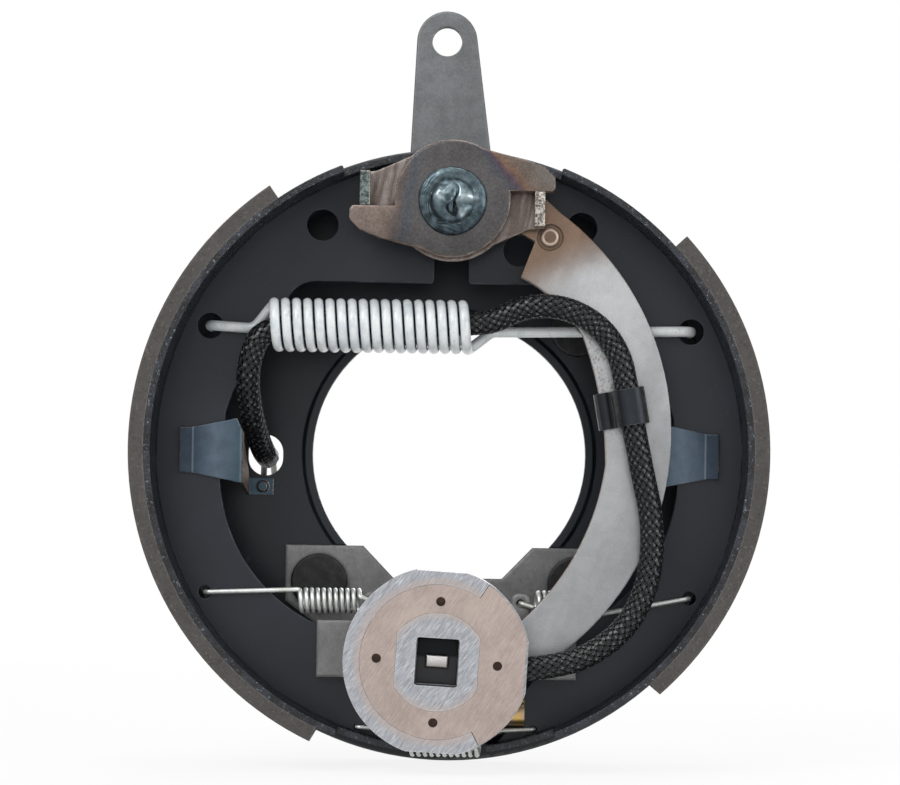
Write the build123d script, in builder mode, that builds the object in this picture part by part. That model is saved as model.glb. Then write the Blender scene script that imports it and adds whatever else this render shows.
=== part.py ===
"""Electric drum brake with a parking lever, seen from its open side.

The frame: X to the right, Z up, and the open side faces -Y. The origin is the centre of the four mounting
studs on the rear face of the backing plate. A "station" is a distance forward of that face, so the plane
of station s is y = -s.
"""

import os
from math import acos, atan2, cos, degrees, hypot, pi, radians, sin, sqrt, tan

from build123d import *

os.makedirs("parts", exist_ok=True)

# Drum and shoes
drum_radius = 127.0
drum_gap = 0.8
lining_thickness = 6.0
lining_width = 57.0
table_thickness = 2.6
web_thickness = 4.0
web_station = 40.0
shoe_ledge_gap = 0.3
left_lining_angles = (124.7, 245.0)
right_lining_angles = (-48.2, 43.0)

lining_radius = drum_radius - drum_gap
table_outer = lining_radius - lining_thickness
table_inner = table_outer - table_thickness
table_rear = web_station - lining_width / 2
table_notch_half = 43.0
table_notch_rear = 51.5
web_hole_radius = 6.3
web_rear = web_station - web_thickness / 2
web_front = web_station + web_thickness / 2

# Backing plate
plate_thickness = 3.0
plate_gap = 0.7
plate_rim_width = 13.3
plate_hole_radius = 56.5
plate_step_run = 3.2
ledge_height = 2.2
ledge_length = 16.0
ledge_width = 6.0
rim_depth = 6.0
hole_lip_height = 1.6
slot_length = 22.0
slot_width = 9.0
plug_flange = 1.5
stud_spacing = 106.0
stud_radius = 5.0
stud_shoulder_radius = 5.5
stud_length = 22.0
stud_head_radius = 11.6
stud_head_height = 4.0
hole_clearance = 0.2
plate_radius = drum_radius - plate_gap
plate_flat_radius = plate_radius - plate_rim_width
annulus_front = table_rear - shoe_ledge_gap - ledge_height
annulus_radius = (table_inner + lining_radius) / 2 - 1.5

# Post, bush and lever
post_radius = 9.0
post_inset = 27.0
running_gap = 0.05
body_gap = 0.3
bush_radius = 12.2
lever_thickness = 5.0
lever_eye_radius = 6.2
lever_eye_lean = -3.1
lever_length = 72.6
lever_tip_radius = 12.6
lever_hub_radius = 19.0
collar_radius = 13.0
collar_thickness = 2.5
post_height = drum_radius - post_inset
web_nose_x = 7.0
web_nose_z = post_height - 31.6
web_step_z = post_height - 15.5

# Cam, arm, expander and driver
cam_half_width = 14.0
cam_half_height = 10.0
cam_hub_radius = 13.0
cam_margin = 1.0
arm_station = 47.5
arm_thickness = 6.0
arm_hub_radius = 20.0
expander_thickness = 4.0
expander_radius = 24.0
ear_thickness = 4.0
ear_span = 73.0
ear_reach = 10.5
ear_start = -3.0
driver_thickness = 7.6
driver_radius = 22.8
driver_gap = 0.5
wing_clearance = 0.3
weld_radius = 13.8
weld_bead_radius = 9.8
weld_height = 4.0
arm_front = arm_station + arm_thickness
expander_front = arm_front + expander_thickness
driver_rear = expander_front + driver_gap
driver_front = driver_rear + driver_thickness
ear_half = ear_span / 2
web_end_half = cam_half_width + body_gap
cam_rear = web_rear - cam_margin
cam_front = web_front + cam_margin

# Magnet and its post on the arm
magnet_x = -3.6
magnet_inset = 44.8
magnet_turn = 3.0
magnet_radius = 36.8
magnet_flat_half = 35.4
magnet_thickness = 19.5
magnet_rear_gap = 3.0
shell_floor = 4.0
shell_wall = 6.4
pole_opening = 60.0
friction_depth = 3.6
friction_radius = 36.2
core_radius = 19.2
core_flat_half = 16.2
window_width = 17.0
window_height = 18.8
window_step = 1.0
window_step_depth = 10.0
magnet_hole_radius = 1.85
magnet_hole_circle = 23.7
magnet_slack = 0.1
spring_pocket_radius = 12.6
post_block_width = 13.8
post_block_height = 15.2
lug_width = 8.8
lug_height = 4.9
lug_length = 3.4
magnet_stub_radius = 6.0
magnet_coil_radius = 11.4
magnet_wire = 0.7
magnet_turns = 2.6
magnet_clip_thickness = 1.0
magnet_z = magnet_inset - drum_radius
magnet_rear = arm_front + magnet_rear_gap
magnet_front = magnet_rear + magnet_thickness
cavity_radius = magnet_radius - shell_wall
clip_rear = magnet_front - window_step_depth + body_gap

# Springs: mean coil radius, wire radius and number of turns
upper_coil_radius = 8.7
upper_wire = 2.1
upper_turns = 17.5
upper_pitch = 4.4
upper_height = 50.0
upper_hole_inset = 8.9
upper_hole_radius = 5.1
lower_coil_radius = 4.3
lower_wire = 0.95
lower_turns = 10.0
lower_pitch = 2.37
lower_axis_station = 41.6
lower_coil_outer = 58.8
lower_hole_inset = 4.9
lower_hole_radius = 2.7
adjuster_coil_radius = 3.1
adjuster_wire = 0.9
adjuster_turns = 11.0
adjuster_pitch = 2.6
adjuster_hook_x = 35.5

# Adjuster
adjuster_inset = 23.0
adjuster_height = adjuster_inset - drum_radius
adjuster_spring_height = adjuster_height - 14.1
adjuster_hook_z = adjuster_height - 6.4
adjuster_barrel_radius = 6.0
adjuster_half = 31.6
fork_depth = 6.9
fork_slot = web_thickness + 2 * body_gap
thread_radius = 4.5
spigot_radius = 4.2
star_radius = 8.5
star_thickness = 5.0
star_teeth = 18
web_foot_half = adjuster_half - fork_depth + body_gap

# Arm guide bracket
sheet = 2.5
bracket_bottom = adjuster_height + 9.8
bracket_top = adjuster_height + 36.5
bracket_half = 52.0
bracket_base_half = 67.0
bracket_base_top = -38.0
riser_half = 26.0
bracket_gap = 0.4
spring_tab_x = 29.5
bracket_front_rear = web_front + bracket_gap
lower_height = bracket_top + 7.7
lower_hole_z = lower_height + 2.8
upper_hole_x = sqrt((table_inner - upper_hole_inset) ** 2 - upper_height**2)
lower_hole_x = sqrt((table_inner - lower_hole_inset) ** 2 - lower_hole_z**2)

# Hold-down clips
clip_sheet = 1.0
clip_half = 9.0
clip_tip_x = table_inner - 9.4
clip_fold_x = clip_tip_x - 4.6
clip_leg_x = clip_tip_x - 25.2
clip_foot_z = -14.0
clip_foot_width = 7.0

# Lead
sleeve_radius = 4.6
route_radius = 117.6
route_scale = table_inner / route_radius
lead_hole = (-76.0 * route_scale, -1.0)
lead_hole_width = 14.4
lead_hole_height = 16.9
wire_radius = 1.3
lead_end = (magnet_x + 33.1, magnet_rear + 9.5, magnet_z - 3.0)
cable_clip_sheet = 1.0
cable_clip_length = 14.5
cable_clip_z = 19.0
cable_clip_tilt = 10.0


def front(station):
    """The plane of a station, with X to the right, Z up and its normal to the front."""
    return Plane.XZ.offset(station)


def sheet_face(width):
    """Thickens the line of the sketch in use to a strip of sheet."""
    trace(line_width=width)


def finish(item, name):
    """Labels a finished piece and writes it."""
    item.label = name
    export_step(item, f"parts/{name}.step")
    return item


def wire_sweep(points, bends, radius):
    """A round wire along straight runs joined by tangent arcs."""
    with BuildPart() as wire:
        with BuildLine() as path:
            FilletPolyline(*points, radius=bends)
        with BuildSketch(Plane(origin=path.line @ 0, z_dir=path.line % 0)):
            Circle(radius)
        sweep()
    return wire.part


def natural_bends(points):
    """The radius of every bend of a cord: as wide as the shorter run beside it allows."""
    bends = []
    for before, corner, after in zip(points, points[1:], points[2:]):
        first = Vector(*corner) - Vector(*before)
        second = Vector(*after) - Vector(*corner)
        half_turn = radians(first.get_angle(second)) / 2
        bends.append(0.45 * min(first.length, second.length) / tan(half_turn))
    return bends


def cord(points, radius, name):
    """A round cord along a route given as (right, station, up), written as a piece."""
    route = place_points(points)
    bends = natural_bends(route)
    item = wire_sweep(route, bends, radius)
    length = item.volume / (pi * radius**2)
    print(name, "bends", [round(bend, 1) for bend in bends], "length", round(length, 1))
    finish(item, name)


def coil(place, mean_radius, radius, pitch, turns):
    """A coil that climbs the normal of a plane and begins on its x axis."""
    with BuildPart() as turns_only:
        with BuildLine() as path:
            Helix(pitch=pitch, height=pitch * turns, radius=mean_radius)
        with BuildSketch(Plane(origin=path.line @ 0, z_dir=path.line % 0)):
            Circle(radius)
        sweep()
    return turns_only.part.moved(place.location)


def along_x(start, lead):
    """The plane of a coil along +X that begins at an angle from its top, turned to the front."""
    right, station, up = start
    tilt = radians(lead)
    return Plane(origin=(right, -station, up), x_dir=(0, -sin(tilt), cos(tilt)), z_dir=(1, 0, 0))


def coil_spot(start, lead, shape, turns, reach):
    """A spot on the tangent of such a coil after a number of turns, as (right, station, up)."""
    right, station, up = start
    mean_radius, pitch = shape[0], shape[2]
    angle = radians(lead) + 2 * pi * turns
    whole = hypot(pitch / (2 * pi), mean_radius)
    return (
        right + pitch * turns + reach * pitch / (2 * pi) / whole,
        station + mean_radius * (sin(angle) + reach * cos(angle) / whole),
        up + mean_radius * (cos(angle) - reach * sin(angle) / whole),
    )


def spring(first_leg, first_bends, start, lead, shape, last_leg, last_bends):
    """A coil spring and its two legs as one wire; its shape is coil radius, wire radius, pitch and turns."""
    mean_radius, radius, pitch, turns = shape
    first = place_points(first_leg)
    with BuildPart() as wire:
        with BuildLine() as path:
            FilletPolyline(*first, radius=first_bends)
            winding = Helix(pitch=pitch, height=pitch * turns, radius=mean_radius, mode=Mode.PRIVATE)
            add(winding.moved(along_x(start, lead).location))
            FilletPolyline(*place_points(last_leg), radius=last_bends)
        with BuildSketch(Plane(origin=first[0], z_dir=Vector(*first[1]) - Vector(*first[0]))):
            Circle(radius)
        sweep(path=path.wires()[0])
    return wire.part


def onward(points, reach):
    """The point that carries a route on past its end."""
    last = Vector(*points[-1])
    step = (last - Vector(*points[-2])).normalized() * reach
    return tuple(last + step)


def magnet_plane(station):
    """A plane at the magnet's centre, turned as the magnet is."""
    turn = radians(magnet_turn)
    return Plane(origin=(magnet_x, -station, magnet_z), x_dir=(cos(turn), 0, -sin(turn)), z_dir=(0, -1, 0))


def place_points(points):
    """Turns points given as (right, station, up) into points of the frame."""
    return [(x, -station, z) for x, station, z in points]


def share(right, up):
    """A spot of an outline, given as shares of the radius inside the shoe tables."""
    return (right * table_inner, up * table_inner)


def routed(points):
    """The points of a lead's route, which grows with the shoes."""
    return [(x * route_scale, station, z * route_scale) for x, station, z in points]


def ring_sector(inner, outer, angles):
    """The face between two radii and two angles."""
    with BuildSketch() as sector:
        with BuildLine():
            CenterArc((0, 0), inner, angles[0], angles[1] - angles[0])
            CenterArc((0, 0), outer, angles[0], angles[1] - angles[0])
            for angle in angles:
                Line(
                    (inner * cos(radians(angle)), inner * sin(radians(angle))),
                    (outer * cos(radians(angle)), outer * sin(radians(angle))),
                )
        make_face()
    return sector.sketch


# Backing plate: a flat disc with a lip round its centre hole
with BuildPart() as backing_plate:
    with BuildSketch(Plane.XY):
        with BuildLine():
            Polyline(
                (plate_hole_radius, 0),
                (plate_hole_radius, -plate_thickness - hole_lip_height),
                (plate_hole_radius + plate_thickness, -plate_thickness - hole_lip_height),
                (plate_hole_radius + plate_thickness + 1.5, -plate_thickness),
                (plate_flat_radius, -plate_thickness),
                (plate_flat_radius, 0),
                close=True,
            )
        make_face()
    revolve(axis=Axis.Y)
    with BuildSketch(front(0)):
        with GridLocations(stud_spacing, stud_spacing, 2, 2):
            Circle(stud_shoulder_radius + hole_clearance)
        with Locations((0, post_height)):
            Circle(post_radius + 1.7)
        with Locations(lead_hole):
            SlotOverall(lead_hole_height, lead_hole_width, rotation=90)
        with Locations((0, adjuster_height)):
            SlotOverall(slot_length, slot_width)
    extrude(amount=plate_thickness, mode=Mode.SUBTRACT)
    with BuildSketch(front(plate_thickness)):
        with Locations((0, bracket_base_top - 12)):
            Rectangle(2 * bracket_base_half + 1, 25)
    extrude(amount=hole_lip_height + 1, mode=Mode.SUBTRACT)
finish(backing_plate.part, "backing_plate")

# Plate rim: the step up to the shoe ledges and the edge rolled back
with BuildPart() as plate_rim:
    rise = annulus_front
    with BuildSketch(Plane.XY):
        with BuildLine():
            Polyline(
                (plate_flat_radius, 0),
                (plate_flat_radius, -plate_thickness),
                (plate_flat_radius + plate_step_run, -rise),
                (plate_radius, -rise),
                (plate_radius, -rise + rim_depth),
                (plate_radius - plate_thickness, -rise + rim_depth),
                (plate_radius - plate_thickness, -rise + plate_thickness),
                (plate_flat_radius + plate_step_run, -rise + plate_thickness),
                close=True,
            )
        make_face()
    revolve(axis=Axis.Y)
    outer_corner = plate_rim.edges().filter_by(GeomType.CIRCLE).group_by(SortBy.RADIUS)[-1]
    fillet(outer_corner.group_by(Axis.Y)[0], radius=2.0)
    with BuildSketch(front(annulus_front)):
        for side in (0, 180):
            with PolarLocations(annulus_radius, 3, start_angle=side - 42, angular_range=84, endpoint=True):
                RectangleRounded(ledge_width, ledge_length, 2.0)
    extrude(amount=ledge_height, taper=8)
finish(plate_rim.part, "plate_rim")

# Mounting studs, each with a shoulder pressed into the plate: the lower pair also clamps the bracket
with BuildPart() as mounting_studs:
    half = stud_spacing / 2
    for row, seat in ((half, plate_thickness), (-half, plate_thickness + sheet)):
        with BuildSketch(front(-stud_length)):
            with Locations((-half, row), (half, row)):
                Circle(stud_radius)
        extrude(amount=stud_length)
        with BuildSketch(front(0)):
            with Locations((-half, row), (half, row)):
                Circle(stud_shoulder_radius)
        extrude(amount=seat)
        with BuildSketch(front(seat)):
            with Locations((-half, row), (half, row)):
                Circle(stud_head_radius)
        extrude(amount=stud_head_height)
    rims = mounting_studs.edges().filter_by(GeomType.CIRCLE)
    heads = rims.filter_by(lambda e: abs(e.radius - stud_head_radius) < 0.01)
    tips = rims.filter_by(lambda e: abs(e.center().Y - stud_length) < 0.01)
    fillet(heads.filter_by(lambda e: e.center().Y < -plate_thickness - sheet - 1), radius=1.0)
    chamfer(tips, length=0.8)
finish(mounting_studs.part, "mounting_studs")

# Bush of the post: a flanged tube with its spigot in the plate
with BuildPart() as post_bush:
    with BuildSketch(Plane.XY):
        with BuildLine():
            Polyline(
                (post_radius + running_gap, -0.2),
                (post_radius + 1.5, -0.2),
                (post_radius + 1.5, -plate_thickness),
                (bush_radius + 0.4, -plate_thickness),
                (bush_radius + 0.4, -plate_thickness - 2),
                (bush_radius, -plate_thickness - 2.6),
                (bush_radius, -cam_rear + body_gap),
                (post_radius + running_gap, -cam_rear + body_gap),
                close=True,
            )
        make_face()
    revolve(axis=Axis.Y)
finish(post_bush.part.moved(Location((0, 0, post_height))), "post_bush")

# Arm guide bracket: a base clamped under the lower studs, a riser and a front face that guides the arm
with BuildPart() as arm_guide_bracket:
    with BuildSketch(front(plate_thickness)):
        with BuildLine():
            Polyline(
                (-bracket_base_half, bracket_base_top),
                (-35, bracket_base_top),
                (-22.5, -51),
                (22.5, -51),
                (35, bracket_base_top),
                (bracket_base_half, bracket_base_top),
                (bracket_base_half, -61),
                (riser_half, bracket_bottom + sheet),
                (-riser_half, bracket_bottom + sheet),
                (-bracket_base_half, -61),
                close=True,
            )
        make_face()
    extrude(amount=sheet)
    with BuildSketch(Plane.YZ.offset(-riser_half)):
        with BuildLine():
            FilletPolyline(
                (-plate_thickness - sheet / 2, bracket_bottom + 10),
                (-plate_thickness - sheet / 2, bracket_bottom + sheet / 2),
                (-bracket_front_rear - sheet / 2, bracket_bottom + sheet / 2),
                (-bracket_front_rear - sheet / 2, bracket_bottom + 12),
                radius=3.5,
            )
        sheet_face(sheet)
    extrude(amount=2 * riser_half)
    with BuildSketch(front(bracket_front_rear)):
        with BuildLine():
            Polyline(
                (-bracket_half, bracket_top),
                (bracket_half, bracket_top),
                (bracket_half, bracket_bottom + 4),
                (-bracket_half, bracket_bottom + 4),
                close=True,
            )
        make_face()
        for side in (-1, 1):
            with Locations((side * spring_tab_x, bracket_top + 5)):
                RectangleRounded(8, 13, 3)
    extrude(amount=sheet)
    with BuildSketch(front(0)):
        with GridLocations(stud_spacing, stud_spacing, 2, 2):
            Circle(stud_shoulder_radius + hole_clearance)
        with Locations((-spring_tab_x, lower_height), (spring_tab_x, lower_height)):
            Circle(lower_wire + 0.8)
    extrude(amount=web_front + 10, mode=Mode.SUBTRACT)
finish(arm_guide_bracket.part, "arm_guide_bracket")


# Hold-down clip: a leaf over the web, a leg back to the plate and a riveted foot
with BuildPart() as right_hold_clip:
    leaf = web_front + body_gap + clip_sheet / 2
    with BuildSketch(Plane.XY.offset(-16)):
        with BuildLine():
            FilletPolyline(
                (clip_tip_x, -leaf - 1.4),
                (clip_fold_x, -leaf),
                (clip_leg_x, -leaf),
                (clip_leg_x, -leaf + 4),
                radius=1.5,
            )
        sheet_face(clip_sheet)
    extrude(amount=32)
    with BuildSketch(front(web_front - 8)):
        with BuildLine():
            Polyline(
                (clip_tip_x + 1, clip_half),
                (clip_fold_x, clip_half),
                (clip_leg_x + 2.3, clip_half + 3.9),
                (clip_leg_x - 1, clip_half - 3),
                (clip_leg_x - 3, clip_foot_z + 0.4),
                (clip_fold_x, -clip_half),
                (clip_tip_x + 1, -clip_half),
                close=True,
            )
        make_face()
    extrude(amount=12, mode=Mode.INTERSECT)
    with BuildSketch(Plane.YZ.offset(clip_leg_x - clip_sheet / 2)):
        with BuildLine():
            Polyline(
                (-leaf + 1, 5),
                (-leaf + 1, -13.2),
                (-plate_thickness, clip_foot_z - clip_foot_width / 2),
                (-plate_thickness, clip_foot_z + clip_foot_width / 2),
                close=True,
            )
        make_face()
    extrude(amount=clip_sheet)
    with BuildSketch(front(plate_thickness)):
        with Locations((clip_leg_x - 5, clip_foot_z)):
            Rectangle(11, clip_foot_width)
    extrude(amount=clip_sheet)
    with BuildSketch(front(plate_thickness + clip_sheet)):
        with Locations((clip_leg_x - 6, clip_foot_z)):
            Circle(2.6)
    extrude(amount=1.6, taper=25)
with BuildPart() as left_hold_clip:
    mirror(right_hold_clip.part, about=Plane.YZ)
finish(right_hold_clip.part, "right_hold_clip")
finish(left_hold_clip.part, "left_hold_clip")

# Shoe webs: the right one, and the left one mirrored
web_foot_angle = -degrees(acos((web_foot_half - 4) / table_inner))
web_corner = (share(0.524, 0)[0], web_nose_z)
with BuildPart() as right_shoe_web:
    with BuildSketch(front(web_rear)):
        with BuildLine():
            top = sqrt(table_inner**2 - web_end_half**2)
            foot = sqrt(table_inner**2 - (web_foot_half - 4) ** 2)
            sweep_angle = degrees(atan2(top, web_end_half)) - web_foot_angle
            CenterArc((0, 0), table_inner, web_foot_angle, sweep_angle)
            Polyline(
                (web_end_half, top),
                (web_end_half, web_step_z),
                (web_nose_x, web_step_z),
                (web_nose_x, web_nose_z),
                web_corner,
                share(0.741, 0.202),
                share(0.765, 0.131),
                share(0.781, -0.105),
            )
            ThreePointArc(share(0.781, -0.105), share(0.685, -0.389), share(0.446, -0.589))
            Polyline(
                share(0.446, -0.589),
                (web_foot_half + 6, adjuster_height + 7.5),
                (web_foot_half, adjuster_height + 6.5),
                (web_foot_half, adjuster_height - 7),
                (web_foot_half - 4, -foot),
            )
        make_face()
    extrude(amount=web_thickness)
    for (right, up), size in (
        (web_corner, 12),
        ((web_nose_x, web_nose_z), 1.5),
        ((web_nose_x, web_step_z), 3),
        ((web_end_half, web_step_z), 1.5),
    ):
        edge = right_shoe_web.edges().filter_by(Axis.Y).sort_by_distance((right, -web_station, up))[0]
        fillet(edge, radius=size)
    with BuildSketch(front(web_rear)):
        with Locations(share(0.442, 0.774)):
            Circle(web_hole_radius)
        with Locations((upper_hole_x, upper_height)):
            Circle(upper_hole_radius)
        with Locations((lower_hole_x, lower_hole_z)):
            Circle(lower_hole_radius)
        with Locations((adjuster_hook_x, adjuster_hook_z)):
            Circle(adjuster_wire + 0.4)
    extrude(amount=web_thickness, mode=Mode.SUBTRACT)
with BuildPart() as left_shoe_web:
    mirror(right_shoe_web.part, about=Plane.YZ)
with BuildPart() as right_web_pierced:
    add(right_shoe_web.part)
    with BuildSketch(front(web_rear)):
        with Locations((27, post_height - 18.2)):
            Circle(web_hole_radius)
    extrude(amount=web_thickness, mode=Mode.SUBTRACT)
finish(right_web_pierced.part, "right_shoe_web")
finish(left_shoe_web.part, "left_shoe_web")

# Shoe tables and linings
table_end = degrees(acos(web_end_half / table_outer))
table_foot = -degrees(acos(16.5 / table_outer))
with BuildPart() as right_shoe_table:
    with BuildSketch(front(table_rear)):
        add(ring_sector(table_inner, table_outer, (table_foot, table_end)))
    extrude(amount=lining_width)
    with BuildSketch(front(table_notch_rear)):
        Rectangle(2 * table_notch_half, 3 * drum_radius)
    extrude(amount=lining_width, mode=Mode.SUBTRACT)
    fillet(right_shoe_table.edges().filter_by(Axis.Y), radius=0.8)
with BuildPart() as left_shoe_table:
    mirror(right_shoe_table.part, about=Plane.YZ)
finish(right_shoe_table.part, "right_shoe_table")
finish(left_shoe_table.part, "left_shoe_table")

for side, angles in (("left", left_lining_angles), ("right", right_lining_angles)):
    with BuildPart() as lining:
        with BuildSketch(front(table_rear)):
            add(ring_sector(table_outer, lining_radius, angles))
        extrude(amount=lining_width)
        front_edges = lining.edges().filter_by(GeomType.CIRCLE).group_by(Axis.Y)[0]
        chamfer(front_edges.sort_by(SortBy.RADIUS)[-1:], length=0.5)
    finish(lining.part, f"{side}_lining")

# Adjuster: nut and socket with forked ends, and the screw with its star wheel
def forked_barrel(length, bore, bore_depth, side):
    """A barrel from its open end outwards to a fork that straddles the web."""
    with BuildPart() as barrel:
        with BuildSketch(Plane.YZ.offset(adjuster_half - length)):
            Circle(adjuster_barrel_radius)
        extrude(amount=length)
        with BuildSketch(Plane.YZ.offset(adjuster_half - length)):
            Circle(bore)
        extrude(amount=bore_depth, mode=Mode.SUBTRACT)
        with BuildSketch(front(-fork_slot / 2)):
            with Locations((adjuster_half, 0)):
                Rectangle(2 * fork_depth, 4 * adjuster_barrel_radius)
        extrude(amount=fork_slot, mode=Mode.SUBTRACT)
        outer = barrel.edges().filter_by(GeomType.CIRCLE).sort_by(Axis.X)[:2].sort_by(SortBy.RADIUS)[-1]
        chamfer(outer, length=0.6)
    turned = barrel.part if side > 0 else barrel.part.rotate(Axis.Z, 180)
    return turned.moved(Location((0, -web_station, adjuster_height)))


star_left = -6.0
star_right = star_left + star_thickness
nut_length = adjuster_half + star_left - 2.0
socket_length = adjuster_half - star_right - 0.6
bore_depth = 14.5
finish(forked_barrel(nut_length, thread_radius + running_gap, bore_depth, -1), "adjuster_nut")
finish(forked_barrel(socket_length, spigot_radius + running_gap, bore_depth + 4, 1), "adjuster_socket")

with BuildPart() as adjuster_screw:
    with BuildSketch(Plane.YZ.offset(star_left)):
        Circle(star_radius - 2)
        with PolarLocations(star_radius - 1.6, star_teeth):
            Trapezoid(2.2, 3.2, 75, rotation=-90)
    extrude(amount=star_thickness)
    with BuildSketch(Plane.YZ.offset(star_left - 2.0 - bore_depth + 1)):
        Circle(thread_radius)
    extrude(amount=bore_depth + 1)
    with BuildSketch(Plane.YZ.offset(star_right)):
        Circle(spigot_radius)
    extrude(amount=bore_depth + 4)
finish(adjuster_screw.part.moved(Location((0, -web_station, adjuster_height))), "adjuster_screw")

# Rubber plug of the adjusting slot
with BuildPart() as slot_plug:
    for station, depth, length, height in (
        (-plug_flange, plug_flange, slot_length + 5, slot_width + 5),
        (0, plate_thickness, slot_length - 0.4, slot_width - 0.4),
        (plate_thickness, plug_flange, slot_length + 2, slot_width + 2),
    ):
        with BuildSketch(front(station)):
            with Locations((0, adjuster_height)):
                SlotOverall(length, height)
        extrude(amount=depth)
finish(slot_plug.part, "slot_plug")

# Cam post: the shaft through plate, lever and driver, with a collar and a riveted rear end
with BuildPart() as cam_post:
    with BuildSketch(Plane.XY):
        with BuildLine():
            lever_rear = collar_thickness + 0.5 + lever_thickness
            Polyline(
                (0, lever_rear + 3),
                (post_radius + 1, lever_rear + 3),
                (post_radius + 3, lever_rear),
                (post_radius, lever_rear),
                (post_radius, lever_rear - lever_thickness),
                (collar_radius, lever_rear - lever_thickness),
                (collar_radius, 0.5),
                (post_radius, 0.5),
                (post_radius, -driver_front),
                (0, -driver_front),
                close=True,
            )
        make_face()
    revolve(axis=Axis.Y)
finish(cam_post.part.moved(Location((0, 0, post_height))), "cam_post")

# Parking lever: two rounds joined by straight flanks
with BuildPart() as park_lever:
    with BuildSketch(front(-lever_rear)):
        with Locations((0, post_height)):
            Circle(lever_hub_radius)
        with Locations((lever_eye_lean, post_height + lever_length)):
            Circle(lever_tip_radius)
        make_hull()
        with Locations((0, post_height)):
            Circle(post_radius, mode=Mode.SUBTRACT)
        with Locations((lever_eye_lean, post_height + lever_length)):
            Circle(lever_eye_radius, mode=Mode.SUBTRACT)
    extrude(amount=lever_thickness)
    fillet(park_lever.edges().group_by(Axis.Y)[0].sort_by(SortBy.LENGTH)[-4:], radius=0.8)
finish(park_lever.part, "park_lever")

# Driver plate: a disc with two wings that push the expander's ears
wing_flat = -ear_start + wing_clearance
with BuildPart() as driver_plate:
    with BuildSketch(front(driver_rear)):
        Circle(driver_radius)
        for turn in (0, 180):
            with BuildLine(Plane.XY.rotated((0, 0, turn))):
                Polyline(
                    (16, wing_flat),
                    (ear_half + 3, wing_flat),
                    (ear_half + 4, wing_flat + 1.2),
                    (ear_half + 4, 8.5),
                    (ear_half, 12.5),
                    (29.2, 15.3),
                    (11, 19.9),
                    (8, 10),
                    close=True,
                )
            make_face()
        Circle(post_radius, mode=Mode.SUBTRACT)
    extrude(amount=driver_thickness)
    wing_tips = driver_plate.edges().filter_by(Axis.Y).filter_by(lambda e: abs(e.center().X) > ear_half - 1)
    fillet(wing_tips, radius=1.5)
finish(driver_plate.part.moved(Location((0, 0, post_height))), "driver_plate")

# Weld that closes the post on the driver plate: a low bead with a mound on it
with BuildPart() as post_weld:
    for radius, height, edge in ((weld_radius, 2.0, 1.6), (weld_bead_radius, weld_height + 1.2, 2.6)):
        with BuildSketch(front(driver_front)):
            Circle(radius)
        extrude(amount=height)
        fillet(post_weld.edges().filter_by(GeomType.CIRCLE).group_by(Axis.Y)[0], radius=edge)
finish(post_weld.part.moved(Location((0, 0, post_height))), "post_weld")

# Shoe cam: a two-flat cam between the web ends, with its hub on the arm
with BuildPart() as shoe_cam:
    with BuildSketch(front(cam_rear)):
        RectangleRounded(2 * cam_half_width, 2 * cam_half_height, 2)
        Circle(cam_hub_radius)
        Circle(post_radius + running_gap, mode=Mode.SUBTRACT)
    extrude(amount=cam_front - cam_rear)
    with BuildSketch(front(cam_front)):
        Circle(cam_hub_radius)
        Circle(post_radius + running_gap, mode=Mode.SUBTRACT)
    extrude(amount=arm_station - cam_front)
finish(shoe_cam.part.moved(Location((0, 0, post_height))), "shoe_cam")

# Actuating arm: the crescent from the post round to the magnet
arm_pin_place = share(0.3316, 0.733)
arm_pin_radius = 3.6
arm_end_radius = 11.0
arm_heel = share(0.389, -0.673)
arm_shoulder = share(0.3665, 0.816)
arm_end = ((magnet_x, magnet_z - arm_end_radius), (magnet_x, magnet_z + arm_end_radius))
with BuildPart() as actuating_arm:
    with BuildSketch(front(arm_station)):
        with BuildLine():
            Polyline(arm_heel, share(0.306, -0.685), arm_end[0])
            ThreePointArc(arm_end[0], (magnet_x - arm_end_radius, magnet_z), arm_end[1])
            Line(arm_end[1], share(0.253, -0.566))
            ThreePointArc(share(0.253, -0.566), share(0.445, -0.315), share(0.531, -0.034))
            ThreePointArc(share(0.531, -0.034), share(0.509, 0.187), share(0.447, 0.405))
            ThreePointArc(share(0.447, 0.405), share(0.355, 0.516), share(0.2355, 0.5986))
            Polyline(
                share(0.2355, 0.5986),
                share(0.281, 0.7185),
                share(0.1616, 0.791),
                (0, post_height),
                (8, post_height + 18),
                share(0.3206, 0.857),
                arm_shoulder,
            )
            ThreePointArc(arm_shoulder, share(0.7475, 0.136), arm_heel)
        make_face()
        with Locations((0, post_height)):
            Circle(arm_hub_radius)
            Circle(post_radius + running_gap, mode=Mode.SUBTRACT)
    extrude(amount=arm_thickness)
    heel_spot = (arm_heel[0], -arm_station, arm_heel[1])
    heel = actuating_arm.edges().filter_by(Axis.Y).sort_by_distance(heel_spot)[0]
    fillet(heel, radius=9)
    with BuildSketch(front(arm_station)):
        with Locations(arm_pin_place):
            Circle(arm_pin_radius)
        with Locations((magnet_x, magnet_z)):
            Circle(magnet_stub_radius)
    extrude(amount=arm_thickness, mode=Mode.SUBTRACT)
    with BuildSketch(front(arm_front)):
        with Locations(arm_pin_place):
            Circle(arm_pin_radius + 1.7)
    extrude(amount=-1.0, mode=Mode.SUBTRACT)
finish(actuating_arm.part, "actuating_arm")

# Peened pin in the arm
with BuildPart() as arm_pin:
    with BuildSketch(front(arm_station - 2.8)):
        with Locations(arm_pin_place):
            Circle(arm_pin_radius)
    extrude(amount=arm_front + 1.2 - arm_station + 2.8)
    fillet(arm_pin.edges().filter_by(GeomType.CIRCLE), radius=0.9)
finish(arm_pin.part, "arm_pin")

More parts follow.
